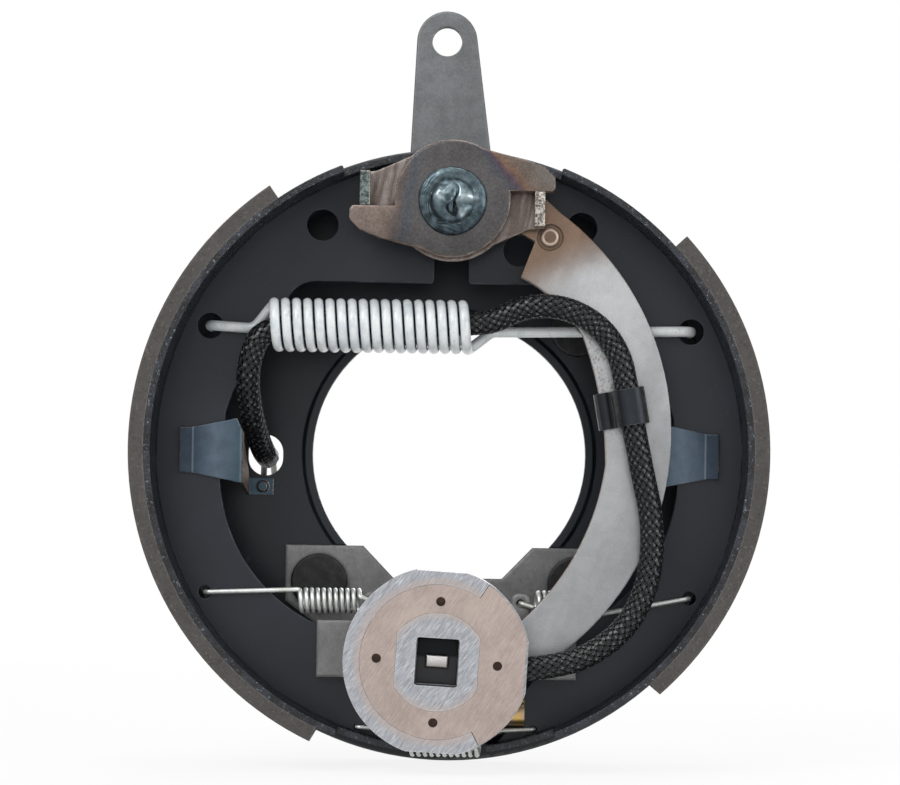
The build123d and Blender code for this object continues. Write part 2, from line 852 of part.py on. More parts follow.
# Expander: a plate on the arm with two ears bent forward
with BuildPart() as expander:
    with BuildSketch(front(arm_front)):
        Circle(expander_radius)
        for turn in (0, 180):
            with BuildLine(Plane.XY.rotated((0, 0, turn))):
                Polyline(
                    (14, -18.5),
                    (22.5, -14.6),
                    (30.3, -11.2),
                    (ear_half, -ear_reach),
                    (ear_half, -ear_start),
                    (30, 5),
                    (16, 14),
                    close=True,
                )
            make_face()
        Circle(post_radius + running_gap, mode=Mode.SUBTRACT)
    extrude(amount=expander_thickness)
    with BuildSketch(front(arm_front)):
        for turn in (0, 180):
            with Locations(Location((0, 0, 0), (0, 0, turn))):
                with Locations((ear_half - ear_thickness / 2, (-ear_reach - ear_start) / 2)):
                    Rectangle(ear_thickness, ear_reach - ear_start)
    extrude(amount=driver_front - arm_front)
finish(expander.part.moved(Location((0, 0, post_height))), "expander")


# Magnet shell: a round cup with three flats, its wall cut back on the right, and the lead's hole
with BuildPart() as magnet_shell:
    with BuildSketch(magnet_plane(magnet_rear)):
        Circle(magnet_radius)
        with Locations(((magnet_flat_half - magnet_radius) / 2, 0)):
            Rectangle(magnet_radius + magnet_flat_half, 2 * magnet_flat_half, mode=Mode.INTERSECT)
    extrude(amount=magnet_thickness)
    with BuildSketch(magnet_plane(magnet_rear + shell_floor)):
        Circle(cavity_radius)
    extrude(amount=magnet_thickness, mode=Mode.SUBTRACT)
    with BuildSketch(magnet_plane(magnet_front - friction_depth - magnet_slack)):
        add(ring_sector(1, magnet_radius + 2, (-pole_opening, pole_opening)))
    extrude(amount=friction_depth + 1, mode=Mode.SUBTRACT)
    with BuildSketch(magnet_plane(magnet_rear)):
        Circle(spring_pocket_radius)
    extrude(amount=shell_floor, mode=Mode.SUBTRACT)
    with BuildSketch(Plane.YZ.offset(magnet_x + cavity_radius - 3)):
        with Locations((-lead_end[1], lead_end[2])):
            Circle(sleeve_radius + 2 * body_gap)
    extrude(amount=2 * shell_wall, mode=Mode.SUBTRACT)
finish(magnet_shell.part, "magnet_shell")

# Magnet core: a pole with two flats and a stepped window
with BuildPart() as magnet_core:
    with BuildSketch(magnet_plane(magnet_rear + shell_floor)):
        Circle(core_radius)
        Rectangle(2 * core_flat_half, 2 * core_radius, mode=Mode.INTERSECT)
        Rectangle(window_width - 2 * window_step, window_height - 2 * window_step, mode=Mode.SUBTRACT)
    extrude(amount=magnet_thickness - shell_floor)
    with BuildSketch(magnet_plane(magnet_front - window_step_depth)):
        RectangleRounded(window_width, window_height, 1.2)
    extrude(amount=window_step_depth, mode=Mode.SUBTRACT)
finish(magnet_core.part, "magnet_core")

# Magnet winding, a closed ring round the core
with BuildPart() as magnet_winding:
    with BuildSketch(magnet_plane(magnet_rear + shell_floor)):
        Circle(cavity_radius - 0.8)
        Circle(core_radius + 1, mode=Mode.SUBTRACT)
    extrude(amount=magnet_thickness - shell_floor - friction_depth - 2 * magnet_slack)
    with BuildSketch(Plane.YZ.offset(magnet_x + core_radius + 2)):
        with Locations((-lead_end[1], lead_end[2])):
            Circle(sleeve_radius + body_gap)
    extrude(amount=cavity_radius, mode=Mode.SUBTRACT)
finish(magnet_winding.part, "magnet_winding")

# Friction ring between the two poles, out to the edge on the right
with BuildPart() as friction_ring:
    with BuildSketch(magnet_plane(magnet_front - friction_depth)):
        Circle(cavity_radius - magnet_slack)
        add(ring_sector(1, friction_radius, (-pole_opening + 0.5, pole_opening - 0.5)))
        with Locations((-1, 0)):
            Rectangle(2 * magnet_flat_half, 2 * magnet_radius, mode=Mode.INTERSECT)
        with BuildSketch(mode=Mode.SUBTRACT):
            Circle(core_radius + magnet_slack)
            Rectangle(2 * (core_flat_half + magnet_slack), 3 * core_radius, mode=Mode.INTERSECT)
        with PolarLocations(magnet_hole_circle, 4):
            Circle(magnet_hole_radius, mode=Mode.SUBTRACT)
    extrude(amount=friction_depth)
finish(friction_ring.part, "friction_ring")

# Magnet post: a square stub on the arm with a lug that holds the clip
with BuildPart() as magnet_post:
    with BuildSketch(magnet_plane(arm_front)):
        Rectangle(post_block_width, post_block_height)
    extrude(amount=clip_rear - arm_front)
    with BuildSketch(magnet_plane(clip_rear)):
        Rectangle(lug_width, lug_height)
    extrude(amount=lug_length)
    fillet(magnet_post.edges().group_by(Axis.Y)[0], radius=0.8)
    with BuildSketch(magnet_plane(arm_station)):
        Circle(magnet_stub_radius)
    extrude(amount=arm_thickness)
finish(magnet_post.part, "magnet_post")

with BuildPart() as magnet_clip:
    with BuildSketch(magnet_plane(clip_rear)):
        Rectangle(window_width - 0.8, window_height - 0.8)
        Rectangle(lug_width + 0.1, lug_height + 0.1, mode=Mode.SUBTRACT)
    extrude(amount=magnet_clip_thickness)
finish(magnet_clip.part, "magnet_clip")

# Spring behind the magnet
spring_room = magnet_rear + shell_floor - arm_front
magnet_spring = coil(
    magnet_plane(arm_front + magnet_wire),
    magnet_coil_radius,
    magnet_wire,
    (spring_room - 2 * magnet_wire) / magnet_turns,
    magnet_turns,
)
finish(magnet_spring, "magnet_spring")

# Upper shoe spring: a coil and two legs, each hooked through a web
upper_start = (-70.35, 53.3, upper_height)
upper_shape = (upper_coil_radius, upper_wire, upper_pitch, upper_turns)
wire_front = web_front + upper_wire + 0.5
hook_rear = web_rear - 4
left_leg = (
    (-upper_hole_x, hook_rear, upper_height),
    (-upper_hole_x, wire_front, upper_height),
    (-78.8, 45.2, upper_height - 1.1),
    coil_spot(upper_start, 0, upper_shape, 0, -6.8),
    coil_spot(upper_start, 0, upper_shape, 0, 0),
)
right_leg = (
    coil_spot(upper_start, 0, upper_shape, upper_turns, 0),
    coil_spot(upper_start, 0, upper_shape, upper_turns, 6.6),
    (16.4, 45.2, upper_height - 1.4),
    (upper_hole_x, wire_front, upper_height),
    (upper_hole_x, hook_rear, upper_height),
)
upper_spring = spring(left_leg, [4, 5, 4], upper_start, 0, upper_shape, right_leg, [3.5, 5, 4])
finish(upper_spring, "upper_spring")

# Lower shoe springs: each from its web to a tab of the bracket
lower_front = web_front + lower_wire + 0.35
tab_front = bracket_front_rear + sheet + lower_wire + 0.1
web_hook_end = web_rear - 2.5
tab_hook_end = bracket_front_rear - 2
lower_shape = (lower_coil_radius, lower_wire, lower_pitch, lower_turns)
lower_length = lower_pitch * lower_turns
left_start = (-lower_coil_outer, lower_axis_station, lower_height)
left_outer_leg = (
    (-lower_hole_x, web_hook_end, lower_hole_z),
    (-lower_hole_x, lower_front, lower_hole_z),
    coil_spot(left_start, 45, lower_shape, 0, -1.9),
    coil_spot(left_start, 45, lower_shape, 0, 0),
)
left_inner_leg = (
    coil_spot(left_start, 45, lower_shape, lower_turns, 0),
    coil_spot(left_start, 45, lower_shape, lower_turns, 1.85),
    (-spring_tab_x, tab_front, lower_height),
    (-spring_tab_x, tab_hook_end, lower_height),
)
lower_left_spring = spring(left_outer_leg, [2, 1.4], left_start, 45, lower_shape, left_inner_leg, [1.3, 1.4])
finish(lower_left_spring, "lower_left_spring")

right_start = (lower_coil_outer - lower_length, lower_axis_station, lower_height)
right_inner_leg = (
    (spring_tab_x, tab_hook_end, lower_height),
    (spring_tab_x, tab_front, lower_height),
    coil_spot(right_start, 135, lower_shape, 0, -1.85),
    coil_spot(right_start, 135, lower_shape, 0, 0),
)
right_outer_leg = (
    coil_spot(right_start, 135, lower_shape, lower_turns, 0),
    coil_spot(right_start, 135, lower_shape, lower_turns, 1.9),
    (lower_hole_x, lower_front, lower_hole_z),
    (lower_hole_x, web_hook_end, lower_hole_z),
)
lower_right_spring = spring(
    right_inner_leg,
    [1.4, 1.3],
    right_start,
    135,
    lower_shape,
    right_outer_leg,
    [1.4, 2],
)
finish(lower_right_spring, "lower_right_spring")

# Adjuster spring under the star wheel, hooked into both webs
adjuster_length = adjuster_pitch * adjuster_turns
adjuster_start = (-adjuster_length / 2, web_station, adjuster_spring_height)
adjuster_shape = (adjuster_coil_radius, adjuster_wire, adjuster_pitch, adjuster_turns)
adjuster_front = web_front + adjuster_wire + 0.3
adjuster_hooks = [
    [
        coil_spot(adjuster_start, 0, adjuster_shape, turns, 0),
        coil_spot(adjuster_start, 0, adjuster_shape, turns, side * 2.4),
        (side * (adjuster_length / 2 + 8), adjuster_front, adjuster_hook_z - 0.6),
        (side * adjuster_hook_x, adjuster_front, adjuster_hook_z),
        (side * adjuster_hook_x, web_rear - 2, adjuster_hook_z),
    ]
    for side, turns in ((-1, 0), (1, adjuster_turns))
]
adjuster_spring = spring(
    adjuster_hooks[0][::-1],
    [1.5, 3, 1.2],
    adjuster_start,
    0,
    adjuster_shape,
    adjuster_hooks[1],
    [1.2, 3, 1.5],
)
finish(adjuster_spring, "adjuster_spring")

# The lead in its braided sleeve: from the plate's hole through the upper spring, then a loop to the arm,
# then along the arm to the magnet
plate_run = [
    (-76.0, -10.0, -1.5),
    (-76.3, 8.0, -0.5),
    (-78.0, 25.0, 6.0),
    (-80.0, 39.0, 16.0),
    (-81.0, 48.0, 27.5),
    (-79.6, 52.2, 38.0),
    (-74.6, 53.3, 48.4),
    (-52.0, 53.3, 50.2),
    (-28.0, 53.5, 49.8),
    (-8.0, 53.3, 50.4),
    (8.0, 53.5, 51.5),
]
swing_loop = [
    plate_run[-1],
    onward(plate_run, 9),
    (27.0, 55.5, 57.6),
    (38.0, 58.0, 59.0),
    (49.5, 59.0, 56.6),
    (60.5, 59.0, 49.5),
    (67.5, 59.0, 38.5),
    (69.8, 59.0, 27.0),
]
magnet_run = [
    swing_loop[-1],
    onward(swing_loop, 9),
    (73.7, 59.0, 7.4),
    (77.3, 59.0, -10.0),
    (80.6, 59.0, -24.0),
    (81.0, 59.5, -40.0),
    (78.5, 60.0, -54.0),
    (71.5, 61.0, -67.5),
    (60.0, 62.5, -77.5),
    (46.0, 65.2, -83.5),
]
cord(routed(plate_run), sleeve_radius, "lead_plate_run")
cord(routed(swing_loop), sleeve_radius, "lead_swing_loop")
cord([*routed(magnet_run), lead_end], sleeve_radius, "lead_magnet_run")

# The two wires that leave the sleeve behind the plate and hang down
wire_a = [
    (-77.7, -10.3, -1.4),
    (-77.9, -18.5, -2.6),
    (-78.6, -26.5, -10.5),
    (-79.5, -28.5, -27.0),
    (-77.5, -25.5, -47.0),
    (-76.0, -22.0, -66.0),
    (-76.8, -20.5, -82.0),
]
wire_b = [
    (-74.3, -10.3, -1.6),
    (-74.1, -16.5, -3.2),
    (-73.4, -22.5, -12.0),
    (-72.5, -24.0, -29.0),
    (-71.0, -21.0, -49.0),
    (-70.5, -18.5, -69.0),
    (-69.0, -19.0, -86.0),
]
cord(routed(wire_a), wire_radius, "lead_wire_a")
cord(routed(wire_b), wire_radius, "lead_wire_b")

# Clip of sheet that hooks round the arm and holds the sleeve
clip_centre = (71.5 * route_scale, 59.0)
clip_plane = Plane(
    origin=(clip_centre[0], 0, cable_clip_z),
    x_dir=(cos(radians(cable_clip_tilt)), 0, sin(radians(cable_clip_tilt))),
    z_dir=(-sin(radians(cable_clip_tilt)), 0, cos(radians(cable_clip_tilt))),
)
clip_reach = sleeve_radius + cable_clip_sheet / 2 + 0.9
with BuildPart() as cable_clip:
    with BuildSketch(clip_plane.offset(-cable_clip_length / 2)):
        with BuildLine():
            behind = -arm_station + body_gap + cable_clip_sheet / 2
            before = -arm_front - body_gap - cable_clip_sheet / 2
            FilletPolyline(
                (-7.0, behind),
                (-12.7, behind),
                (-12.7, before),
                (-clip_reach, before),
                (-clip_reach, -clip_centre[1] - clip_reach),
                (clip_reach, -clip_centre[1] - clip_reach),
                (clip_reach, before),
                radius=[0.9, 0.9, 0.9, 4.6, 4.6],
            )
        sheet_face(cable_clip_sheet)
    extrude(amount=cable_clip_length)
finish(cable_clip.part, "cable_clip")
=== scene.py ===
"""Electric drum brake: finishes for its solids, the braided lead, the weld on the post and the stage."""

from math import atan2, cos, exp, hypot, pi, radians, sin, tau

import bmesh
import bpy
from mathutils import Matrix, Vector, noise


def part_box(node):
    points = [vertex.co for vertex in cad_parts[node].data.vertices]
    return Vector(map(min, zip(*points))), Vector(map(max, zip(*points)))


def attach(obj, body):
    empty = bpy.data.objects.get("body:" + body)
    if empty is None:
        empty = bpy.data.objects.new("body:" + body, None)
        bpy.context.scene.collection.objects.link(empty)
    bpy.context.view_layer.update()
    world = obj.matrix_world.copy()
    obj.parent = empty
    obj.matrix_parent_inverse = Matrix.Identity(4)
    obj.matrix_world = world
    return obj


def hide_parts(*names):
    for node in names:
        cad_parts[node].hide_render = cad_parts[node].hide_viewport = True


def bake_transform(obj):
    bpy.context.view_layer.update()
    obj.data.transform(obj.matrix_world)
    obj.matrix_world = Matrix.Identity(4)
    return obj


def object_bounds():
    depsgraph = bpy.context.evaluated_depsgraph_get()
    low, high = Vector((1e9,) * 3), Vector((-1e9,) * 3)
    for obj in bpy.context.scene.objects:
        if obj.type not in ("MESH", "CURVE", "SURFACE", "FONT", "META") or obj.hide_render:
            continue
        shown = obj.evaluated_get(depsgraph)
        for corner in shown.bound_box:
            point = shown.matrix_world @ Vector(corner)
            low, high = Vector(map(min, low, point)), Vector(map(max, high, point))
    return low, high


bl_info = {
    "name": "Electric drum brake",
    "version": (1, 0, 0),
    "blender": (4, 5, 0),
    "location": "3D View > Sidebar > Drum brake",
    "description": "Finishes an electric drum brake and adds its braided lead, its weld and a stage",
    "category": "Object",
}

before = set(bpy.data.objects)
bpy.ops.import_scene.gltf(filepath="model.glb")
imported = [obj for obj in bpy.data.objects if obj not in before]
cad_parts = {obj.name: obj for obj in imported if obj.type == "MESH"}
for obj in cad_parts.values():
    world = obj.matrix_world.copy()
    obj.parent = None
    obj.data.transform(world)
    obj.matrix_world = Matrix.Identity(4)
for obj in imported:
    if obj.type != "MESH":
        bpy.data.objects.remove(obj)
cad_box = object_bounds()
MM = 0.001


def tone(red, green, blue):
    """A colour read from a screen as 0 to 255, made linear."""
    linear = []
    for part in (red, green, blue):
        share = part / 255
        linear.append(share / 12.92 if share <= 0.04045 else ((share + 0.055) / 1.055) ** 2.4)
    return tuple(linear)


def route(*points):
    """Route points given in millimetres as (right, station, up), placed in metres."""
    return [Vector((right, -station, up)) * MM for right, station, up in points]


PLATE_RUN = route(
    (-76, -10, -1.5), (-76.3, 8, -0.5), (-78, 25, 6), (-80, 39, 16),
    (-81, 48, 27.5), (-79.6, 52.2, 38), (-74.6, 53.3, 48.4), (-52, 53.3, 50.2),
    (-28, 53.5, 49.8), (-8, 53.3, 50.4), (8, 53.5, 51.5),
)
SWING_LOOP = route(
    (17, 53.6, 52.1), (27, 55.5, 57.6), (38, 58, 59), (49.5, 59, 56.6),
    (60.5, 59, 49.5), (67.5, 59, 38.5), (69.8, 59, 27),
)
MAGNET_RUN = route(
    (71.6, 59, 18.2), (73.7, 59, 7.4), (77.3, 59, -10), (80.6, 59, -24),
    (81, 59.5, -40), (78.5, 60, -54), (71.5, 61, -67.5), (60, 62.5, -77.5),
    (46, 65.2, -83.5), (29.5, 66, -85.2),
)
WIRE_A = route(
    (-77.7, -10.3, -1.4), (-77.9, -18.5, -2.6), (-78.6, -26.5, -10.5), (-79.5, -28.5, -27),
    (-77.5, -25.5, -47), (-76, -22, -66), (-76.8, -20.5, -82),
)
WIRE_B = route(
    (-74.3, -10.3, -1.6), (-74.1, -16.5, -3.2), (-73.4, -22.5, -12), (-72.5, -24, -29),
    (-71, -21, -49), (-70.5, -18.5, -69), (-69, -19, -86),
)
WELD_CENTRE = Vector((0, -65.6, 99.0)) * MM
PIN_CENTRE = Vector((39.0, -54.7, 86.2)) * MM
MAGNET_CENTRE = Vector((-3.6, 0, -82.2)) * MM
CLIP_CENTRE = Vector((71.5, -59.0, 19.0)) * MM
CLIP_TILT = radians(10)
STRIPE_CENTRE = Vector((15, -65.6, 118.5)) * MM
LAST_ON_ARM = MAGNET_RUN[6]
STEPS_PER_CROSSING = 6
CORE_SIDES = 16


def colour(name, description, default):
    """A colour that a user may change."""
    return bpy.props.FloatVectorProperty(
        name=name, description=description, default=default, subtype="COLOR", size=3, min=0, max=1
    )


def length(name, description, default, low, high):
    """A length that a user may change, in metres."""
    return bpy.props.FloatProperty(
        name=name, description=description, default=default, min=low, max=high, unit="LENGTH"
    )


class FinishSettings(bpy.types.PropertyGroup):
    """Colours of the coated, moulded and bare surfaces."""

    coat: colour("Black coat", "Coat of the backing plate and the shoes", tone(25, 28, 34))
    lining: colour("Lining", "Friction compound of the shoe linings", tone(84, 81, 79))
    spring_paint: colour("Spring paint", "Paint of the upper shoe spring", tone(226, 229, 229))
    arm_steel: colour("Arm steel", "Tumbled steel of the arm", tone(195, 197, 199))
    lever_steel: colour("Lever steel", "Dull steel of the parking lever", tone(117, 119, 121))
    driver_steel: colour("Driver steel", "Scaled steel of the driver plate", tone(103, 101, 101))
    bracket_steel: colour("Bracket steel", "Grey steel of the arm guide bracket", tone(136, 136, 136))
    clip_steel: colour("Clip steel", "Blued spring steel of the hold-down clips", tone(78, 90, 104))
    pole_steel: colour("Pole steel", "Ground steel of the magnet's poles", tone(170, 172, 178))
    friction: colour("Friction ring", "Compound between the magnet's poles", tone(182, 166, 158))
    zinc: colour("Zinc", "Plating of the small springs", tone(226, 228, 226))


class LeadSettings(bpy.types.PropertyGroup):
    """Sizes of the braided sleeve and its wires."""

    sleeve_radius: length("Sleeve radius", "Radius to the outside of the braid", 4.8 * MM, 1 * MM, 20 * MM)
    strand_width: length("Strand width", "Width of one strand of three threads", 1.6 * MM, 0.1 * MM, 5 * MM)
    strand_thickness: length("Strand thickness", "Thickness of a strand", 0.4 * MM, 0.05 * MM, 2 * MM)
    pitch: length("Pitch", "Length in which a strand goes once round", 37 * MM, 5 * MM, 200 * MM)
    wire_radius: length("Wire radius", "Radius of each insulated wire", 1.3 * MM, 0.3 * MM, 5 * MM)
    strands: bpy.props.IntProperty(
        name="Strands", description="Strands that wind each way", default=10, min=4, max=48
    )
    braid: colour("Braid", "Glossy plastic of the strands", tone(20, 21, 23))


class WeldSettings(bpy.types.PropertyGroup):
    """Sizes and colour of the weld on the post."""

    skirt: length("Skirt radius", "Radius of the bead round the weld", 13.8 * MM, 5 * MM, 30 * MM)
    skirt_height: length("Skirt height", "Height of the bead round the weld", 1.9 * MM, 0.2 * MM, 6 * MM)
    height: length("Height", "Height of the mound over the driver plate", 3.4 * MM, 1 * MM, 10 * MM)
    ripple: length("Ripple", "Depth of the ripples of the weld", 0.16 * MM, 0, 2 * MM)
    steel: colour("Weld metal", "Scaled weld metal", tone(88, 102, 108))


class StageSettings(bpy.types.PropertyGroup):
    """The floor, the lamps and the camera."""

    floor_span: length("Floor span", "Width of the floor", 8.0, 1.0, 40.0)
    distance: length("Camera distance", "From the camera to the plane of the magnet", 1.15, 0.2, 10.0)
    lamps: bpy.props.FloatProperty(
        name="Lamp level", description="Scales the power of every lamp", default=1.0, min=0, max=10
    )


class Finish:
    """A material; paint, cover, lay and dim change its colour and most others hand back an output."""

    def __init__(self, name, base, metallic=0.0, roughness=0.5, specular=0.5):
        self.material = bpy.data.materials.new(name)
        self.material.use_nodes = True
        self.material.diffuse_color = (*base[:3], 1)
        self.tree = self.material.node_tree
        self.shader = self.tree.nodes["Principled BSDF"]
        self.place = self.add("ShaderNodeTexCoord").outputs["Object"]
        self.paint(base)
        self.set("Metallic", metallic)
        self.set("Roughness", roughness)
        self.set("Specular IOR Level", specular)

    def add(self, kind, **settings):
        """A node with its settings."""
        node = self.tree.nodes.new(kind)
        for key, value in settings.items():
            setattr(node, key, value)
        return node

    def join(self, value, socket):
        """Links an output to a socket, or writes a plain value on it."""
        if isinstance(value, bpy.types.NodeSocket):
            self.tree.links.new(value, socket)
        elif socket.type == "RGBA":
            socket.default_value = (*value[:3], 1)
        else:
            socket.default_value = value

    def set(self, name, value):
        """Sets an input of the shader."""
        self.join(value, self.shader.inputs[name])

    def paint(self, shade):
        """Gives the surface its colour."""
        self.colour = shade
        self.set("Base Color", shade)

    def cover(self, factor, shade):
        """Changes the colour to another where the factor is 1."""
        self.paint(self.mix(factor, self.colour, shade))

    def lay(self, factor, strength, shade):
        """Lays another colour over it where the factor is 1, by a strength."""
        self.cover(self.times(factor, strength), shade)

    def dim(self, factor, share):
        """Takes the colour down to a share of itself where the factor is 1."""
        self.paint(self.mix(factor, self.colour, (share, share, share), "MULTIPLY"))

    def gloss(self, texture, swing, low):
        """A roughness that a texture swings up from a low value."""
        self.set("Roughness", self.fit(texture, swing, low))

    def vector(self, operation, first, second):
        """A vector worked out from two others."""
        node = self.add("ShaderNodeVectorMath", operation=operation)
        for value, socket in zip((first, second), node.inputs):
            self.join(value, socket)
        return node.outputs["Value" if operation in {"DOT_PRODUCT", "LENGTH"} else "Vector"]

    def mapped(self, scale=(1, 1, 1), turn=(0, 0, 0), centre=(0, 0, 0)):
        """The place on the piece, seen from a centre, turned and then stretched."""
        node = self.add("ShaderNodeMapping")
        self.join(self.vector("SUBTRACT", self.place, centre), node.inputs["Vector"])
        self.join([radians(angle) for angle in turn], node.inputs["Rotation"])
        return self.vector("MULTIPLY", node.outputs[0], scale)

    def along(self, direction, centre=(0, 0, 0)):
        """How far a spot lies from a centre in one direction."""
        return self.vector("DOT_PRODUCT", self.vector("SUBTRACT", self.place, centre), direction)

    def noise(self, scale, detail=3.0, rough=0.5, source=None, twist=0.0):
        """Soft noise; the scale is in waves per metre."""
        node = self.add("ShaderNodeTexNoise")
        self.join(self.place if source is None else source, node.inputs["Vector"])
        self.join(scale, node.inputs["Scale"])
        self.join(detail, node.inputs["Detail"])
        self.join(rough, node.inputs["Roughness"])
        self.join(twist, node.inputs["Distortion"])
        return node.outputs["Fac"]

    def cells(self, scale, output="Distance"):
        """Cells with their distance or colour."""
        node = self.add("ShaderNodeTexVoronoi")
        self.join(self.place, node.inputs["Vector"])
        self.join(scale, node.inputs["Scale"])
        return node.outputs[output]

    def sum(self, operation, first, second=0.0, third=0.0):
        """A sum of up to three numbers."""
        node = self.add("ShaderNodeMath", operation=operation)
        for value, socket in zip((first, second, third), node.inputs):
            self.join(value, socket)
        return node.outputs[0]

    def fit(self, value, swing, low):
        """A number stretched by a swing over a low value."""
        return self.sum("MULTIPLY_ADD", value, swing, low)

    def times(self, first, second):
        """Two numbers multiplied."""
        return self.sum("MULTIPLY", first, second)

    def stretch(self, value, start, end):
        """0 at the start of a stretch and 1 at its end."""
        return self.sum("DIVIDE", self.sum("SUBTRACT", value, start), end - start)

    def ramp(self, value, *stops):
        """A number turned to a colour by stops of (place, tone)."""
        node = self.add("ShaderNodeValToRGB")
        self.join(value, node.inputs[0])
        line = node.color_ramp
        while len(line.elements) < len(stops):
            line.elements.new(1.0)
        for element, (spot, shade) in zip(line.elements, stops):
            element.position = spot
            element.color = (*shade[:3], 1)
        return node.outputs[0]

    def mask(self, value, low, high):
        """0 below the low value and 1 above the high one."""
        node = self.add("ShaderNodeMapRange", interpolation_type="SMOOTHSTEP")
        self.join(value, node.inputs["Value"])
        self.join(low, node.inputs["From Min"])
        self.join(high, node.inputs["From Max"])
        return node.outputs[0]

    def mix(self, factor, first, second, kind="MIX"):
        """Two colours mixed by a factor."""
        node = self.add("ShaderNodeMix", data_type="RGBA", blend_type=kind)
        self.join(factor, node.inputs[0])
        self.join(first, node.inputs[6])
        self.join(second, node.inputs[7])
        return node.outputs[2]

    def split(self, vector):
        """The X, Y and Z of a vector."""
        node = self.add("ShaderNodeSeparateXYZ")
        self.join(vector, node.inputs[0])
        return node.outputs

    def reach(self, centre, scale=(1, 1, 1)):
        """The distance from a centre."""
        node = self.add("ShaderNodeVectorMath", operation="LENGTH")
        self.join(self.mapped(scale=scale, centre=centre), node.inputs[0])
        return node.outputs["Value"]

    def front_faces(self):
        """1 on the faces that look along the brake's axis and 0 on the edges of its sheets."""
        normal = self.split(self.add("ShaderNodeNewGeometry").outputs["Normal"])
        return self.mask(self.sum("ABSOLUTE", normal[1]), 0.6, 0.85)

    def edge_band(self, radius):
        """1 along the edges, as wide as a radius in millimetres, and 0 on the faces."""
        rounded = self.add("ShaderNodeBevel", samples=4)
        self.join(radius * MM, rounded.inputs["Radius"])
        flat = self.add("ShaderNodeNewGeometry").outputs["True Normal"]
        return self.mask(self.vector("DOT_PRODUCT", rounded.outputs[0], flat), 0.96, 0.82)

    def openness(self, reach):
        """0 deep in a crevice, seen over a reach in millimetres, and 1 in the open."""
        node = self.add("ShaderNodeAmbientOcclusion", samples=8)
        self.join(reach * MM, node.inputs["Distance"])
        return node.outputs["AO"]

    def relief(self, *layers, rounding=0.0):
        """Bumps by layers of (height, depth), over edges broken by a rounding, in millimetres."""
        normal = None
        if rounding:
            rounded = self.add("ShaderNodeBevel", samples=4)
            self.join(rounding * MM, rounded.inputs["Radius"])
            normal = rounded.outputs[0]
        for height, depth in layers:
            node = self.add("ShaderNodeBump")
            self.join(depth * MM, node.inputs["Distance"])
            self.join(height, node.inputs["Height"])
            if normal is not None:
                self.join(normal, node.inputs["Normal"])
            normal = node.outputs[0]
        self.set("Normal", normal)


def dress(finish, *names):
    """Gives CAD nodes a finish."""
    for name in names:
        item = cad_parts[name]
        if not item.material_slots:
            item.data.materials.append(finish.material)
        for holder in item.material_slots:
            holder.material = finish.material


def placed(name, data):
    """A new object in the scene."""
    item = bpy.data.objects.new(name, data)
    bpy.context.scene.collection.objects.link(item)
    return item


def as_mesh(name, body):
    """The mesh of a form, which is then let go."""
    mesh = bpy.data.meshes.new(name)
    body.to_mesh(mesh)
    body.free()
    return mesh


def piece(name, mesh, finishes, body=None):
    """A new mesh piece with its finishes, riding on a body when one is given."""
    item = placed(name, mesh)
    for finish in finishes:
        mesh.materials.append(finish.material)
    for face in mesh.polygons:
        face.use_smooth = True
    if body is not None:
        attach(item, body)
    return item


def black_coat(name, base, worn=0.5):
    """Dipped black coat: a painted blue-grey sheen in slow clouds, rubbed patches, edges lightened partly
    by rubbing and partly by a painted highlight, dust specks and an uneven gloss.
    """
    coat = Finish(name, base, roughness=0.36, specular=0.34)
    clouds = coat.noise(20, 4, 0.55)
    wide = coat.noise(9, 3, 0.55, twist=0.4)
    rubbed = coat.mask(coat.noise(60, 6, 0.72, coat.mapped((1, 1, 2.2), (0, 35, 0))), 0.6, 0.8)
    dust = coat.mask(coat.cells(620), 0.13, 0.05)
    sparse = coat.times(dust, coat.mask(coat.noise(130, 2), 0.55, 0.66))
    # Light bluish edges, broken by noise: partly rubbed coat, partly a painted highlight; the worn strength
    # sets them.
    edge = coat.times(coat.edge_band(0.8), coat.mask(coat.noise(75, 5, 0.65), 0.4, 0.64))
    # Painted sheen: slow clouds of a lighter blue-grey stand in for soft reflections on the gloss.
    coat.cover(coat.mask(clouds, 0.3, 0.75), [part * 1.5 for part in base])
    coat.lay(rubbed, 0.22, tone(74, 80, 88))
    coat.lay(edge, worn, tone(118, 126, 136))
    coat.lay(sparse, 0.35, tone(130, 134, 138))
    gloss = coat.fit(clouds, 0.26, 0.2)
    coat.set("Roughness", coat.sum("ADD", gloss, coat.times(rubbed, 0.14)))
    peel = coat.noise(420, 3, 0.6)
    coat.relief((wide, 0.6), (peel, 0.045), (sparse, 0.03), rounding=0.6)
    return coat


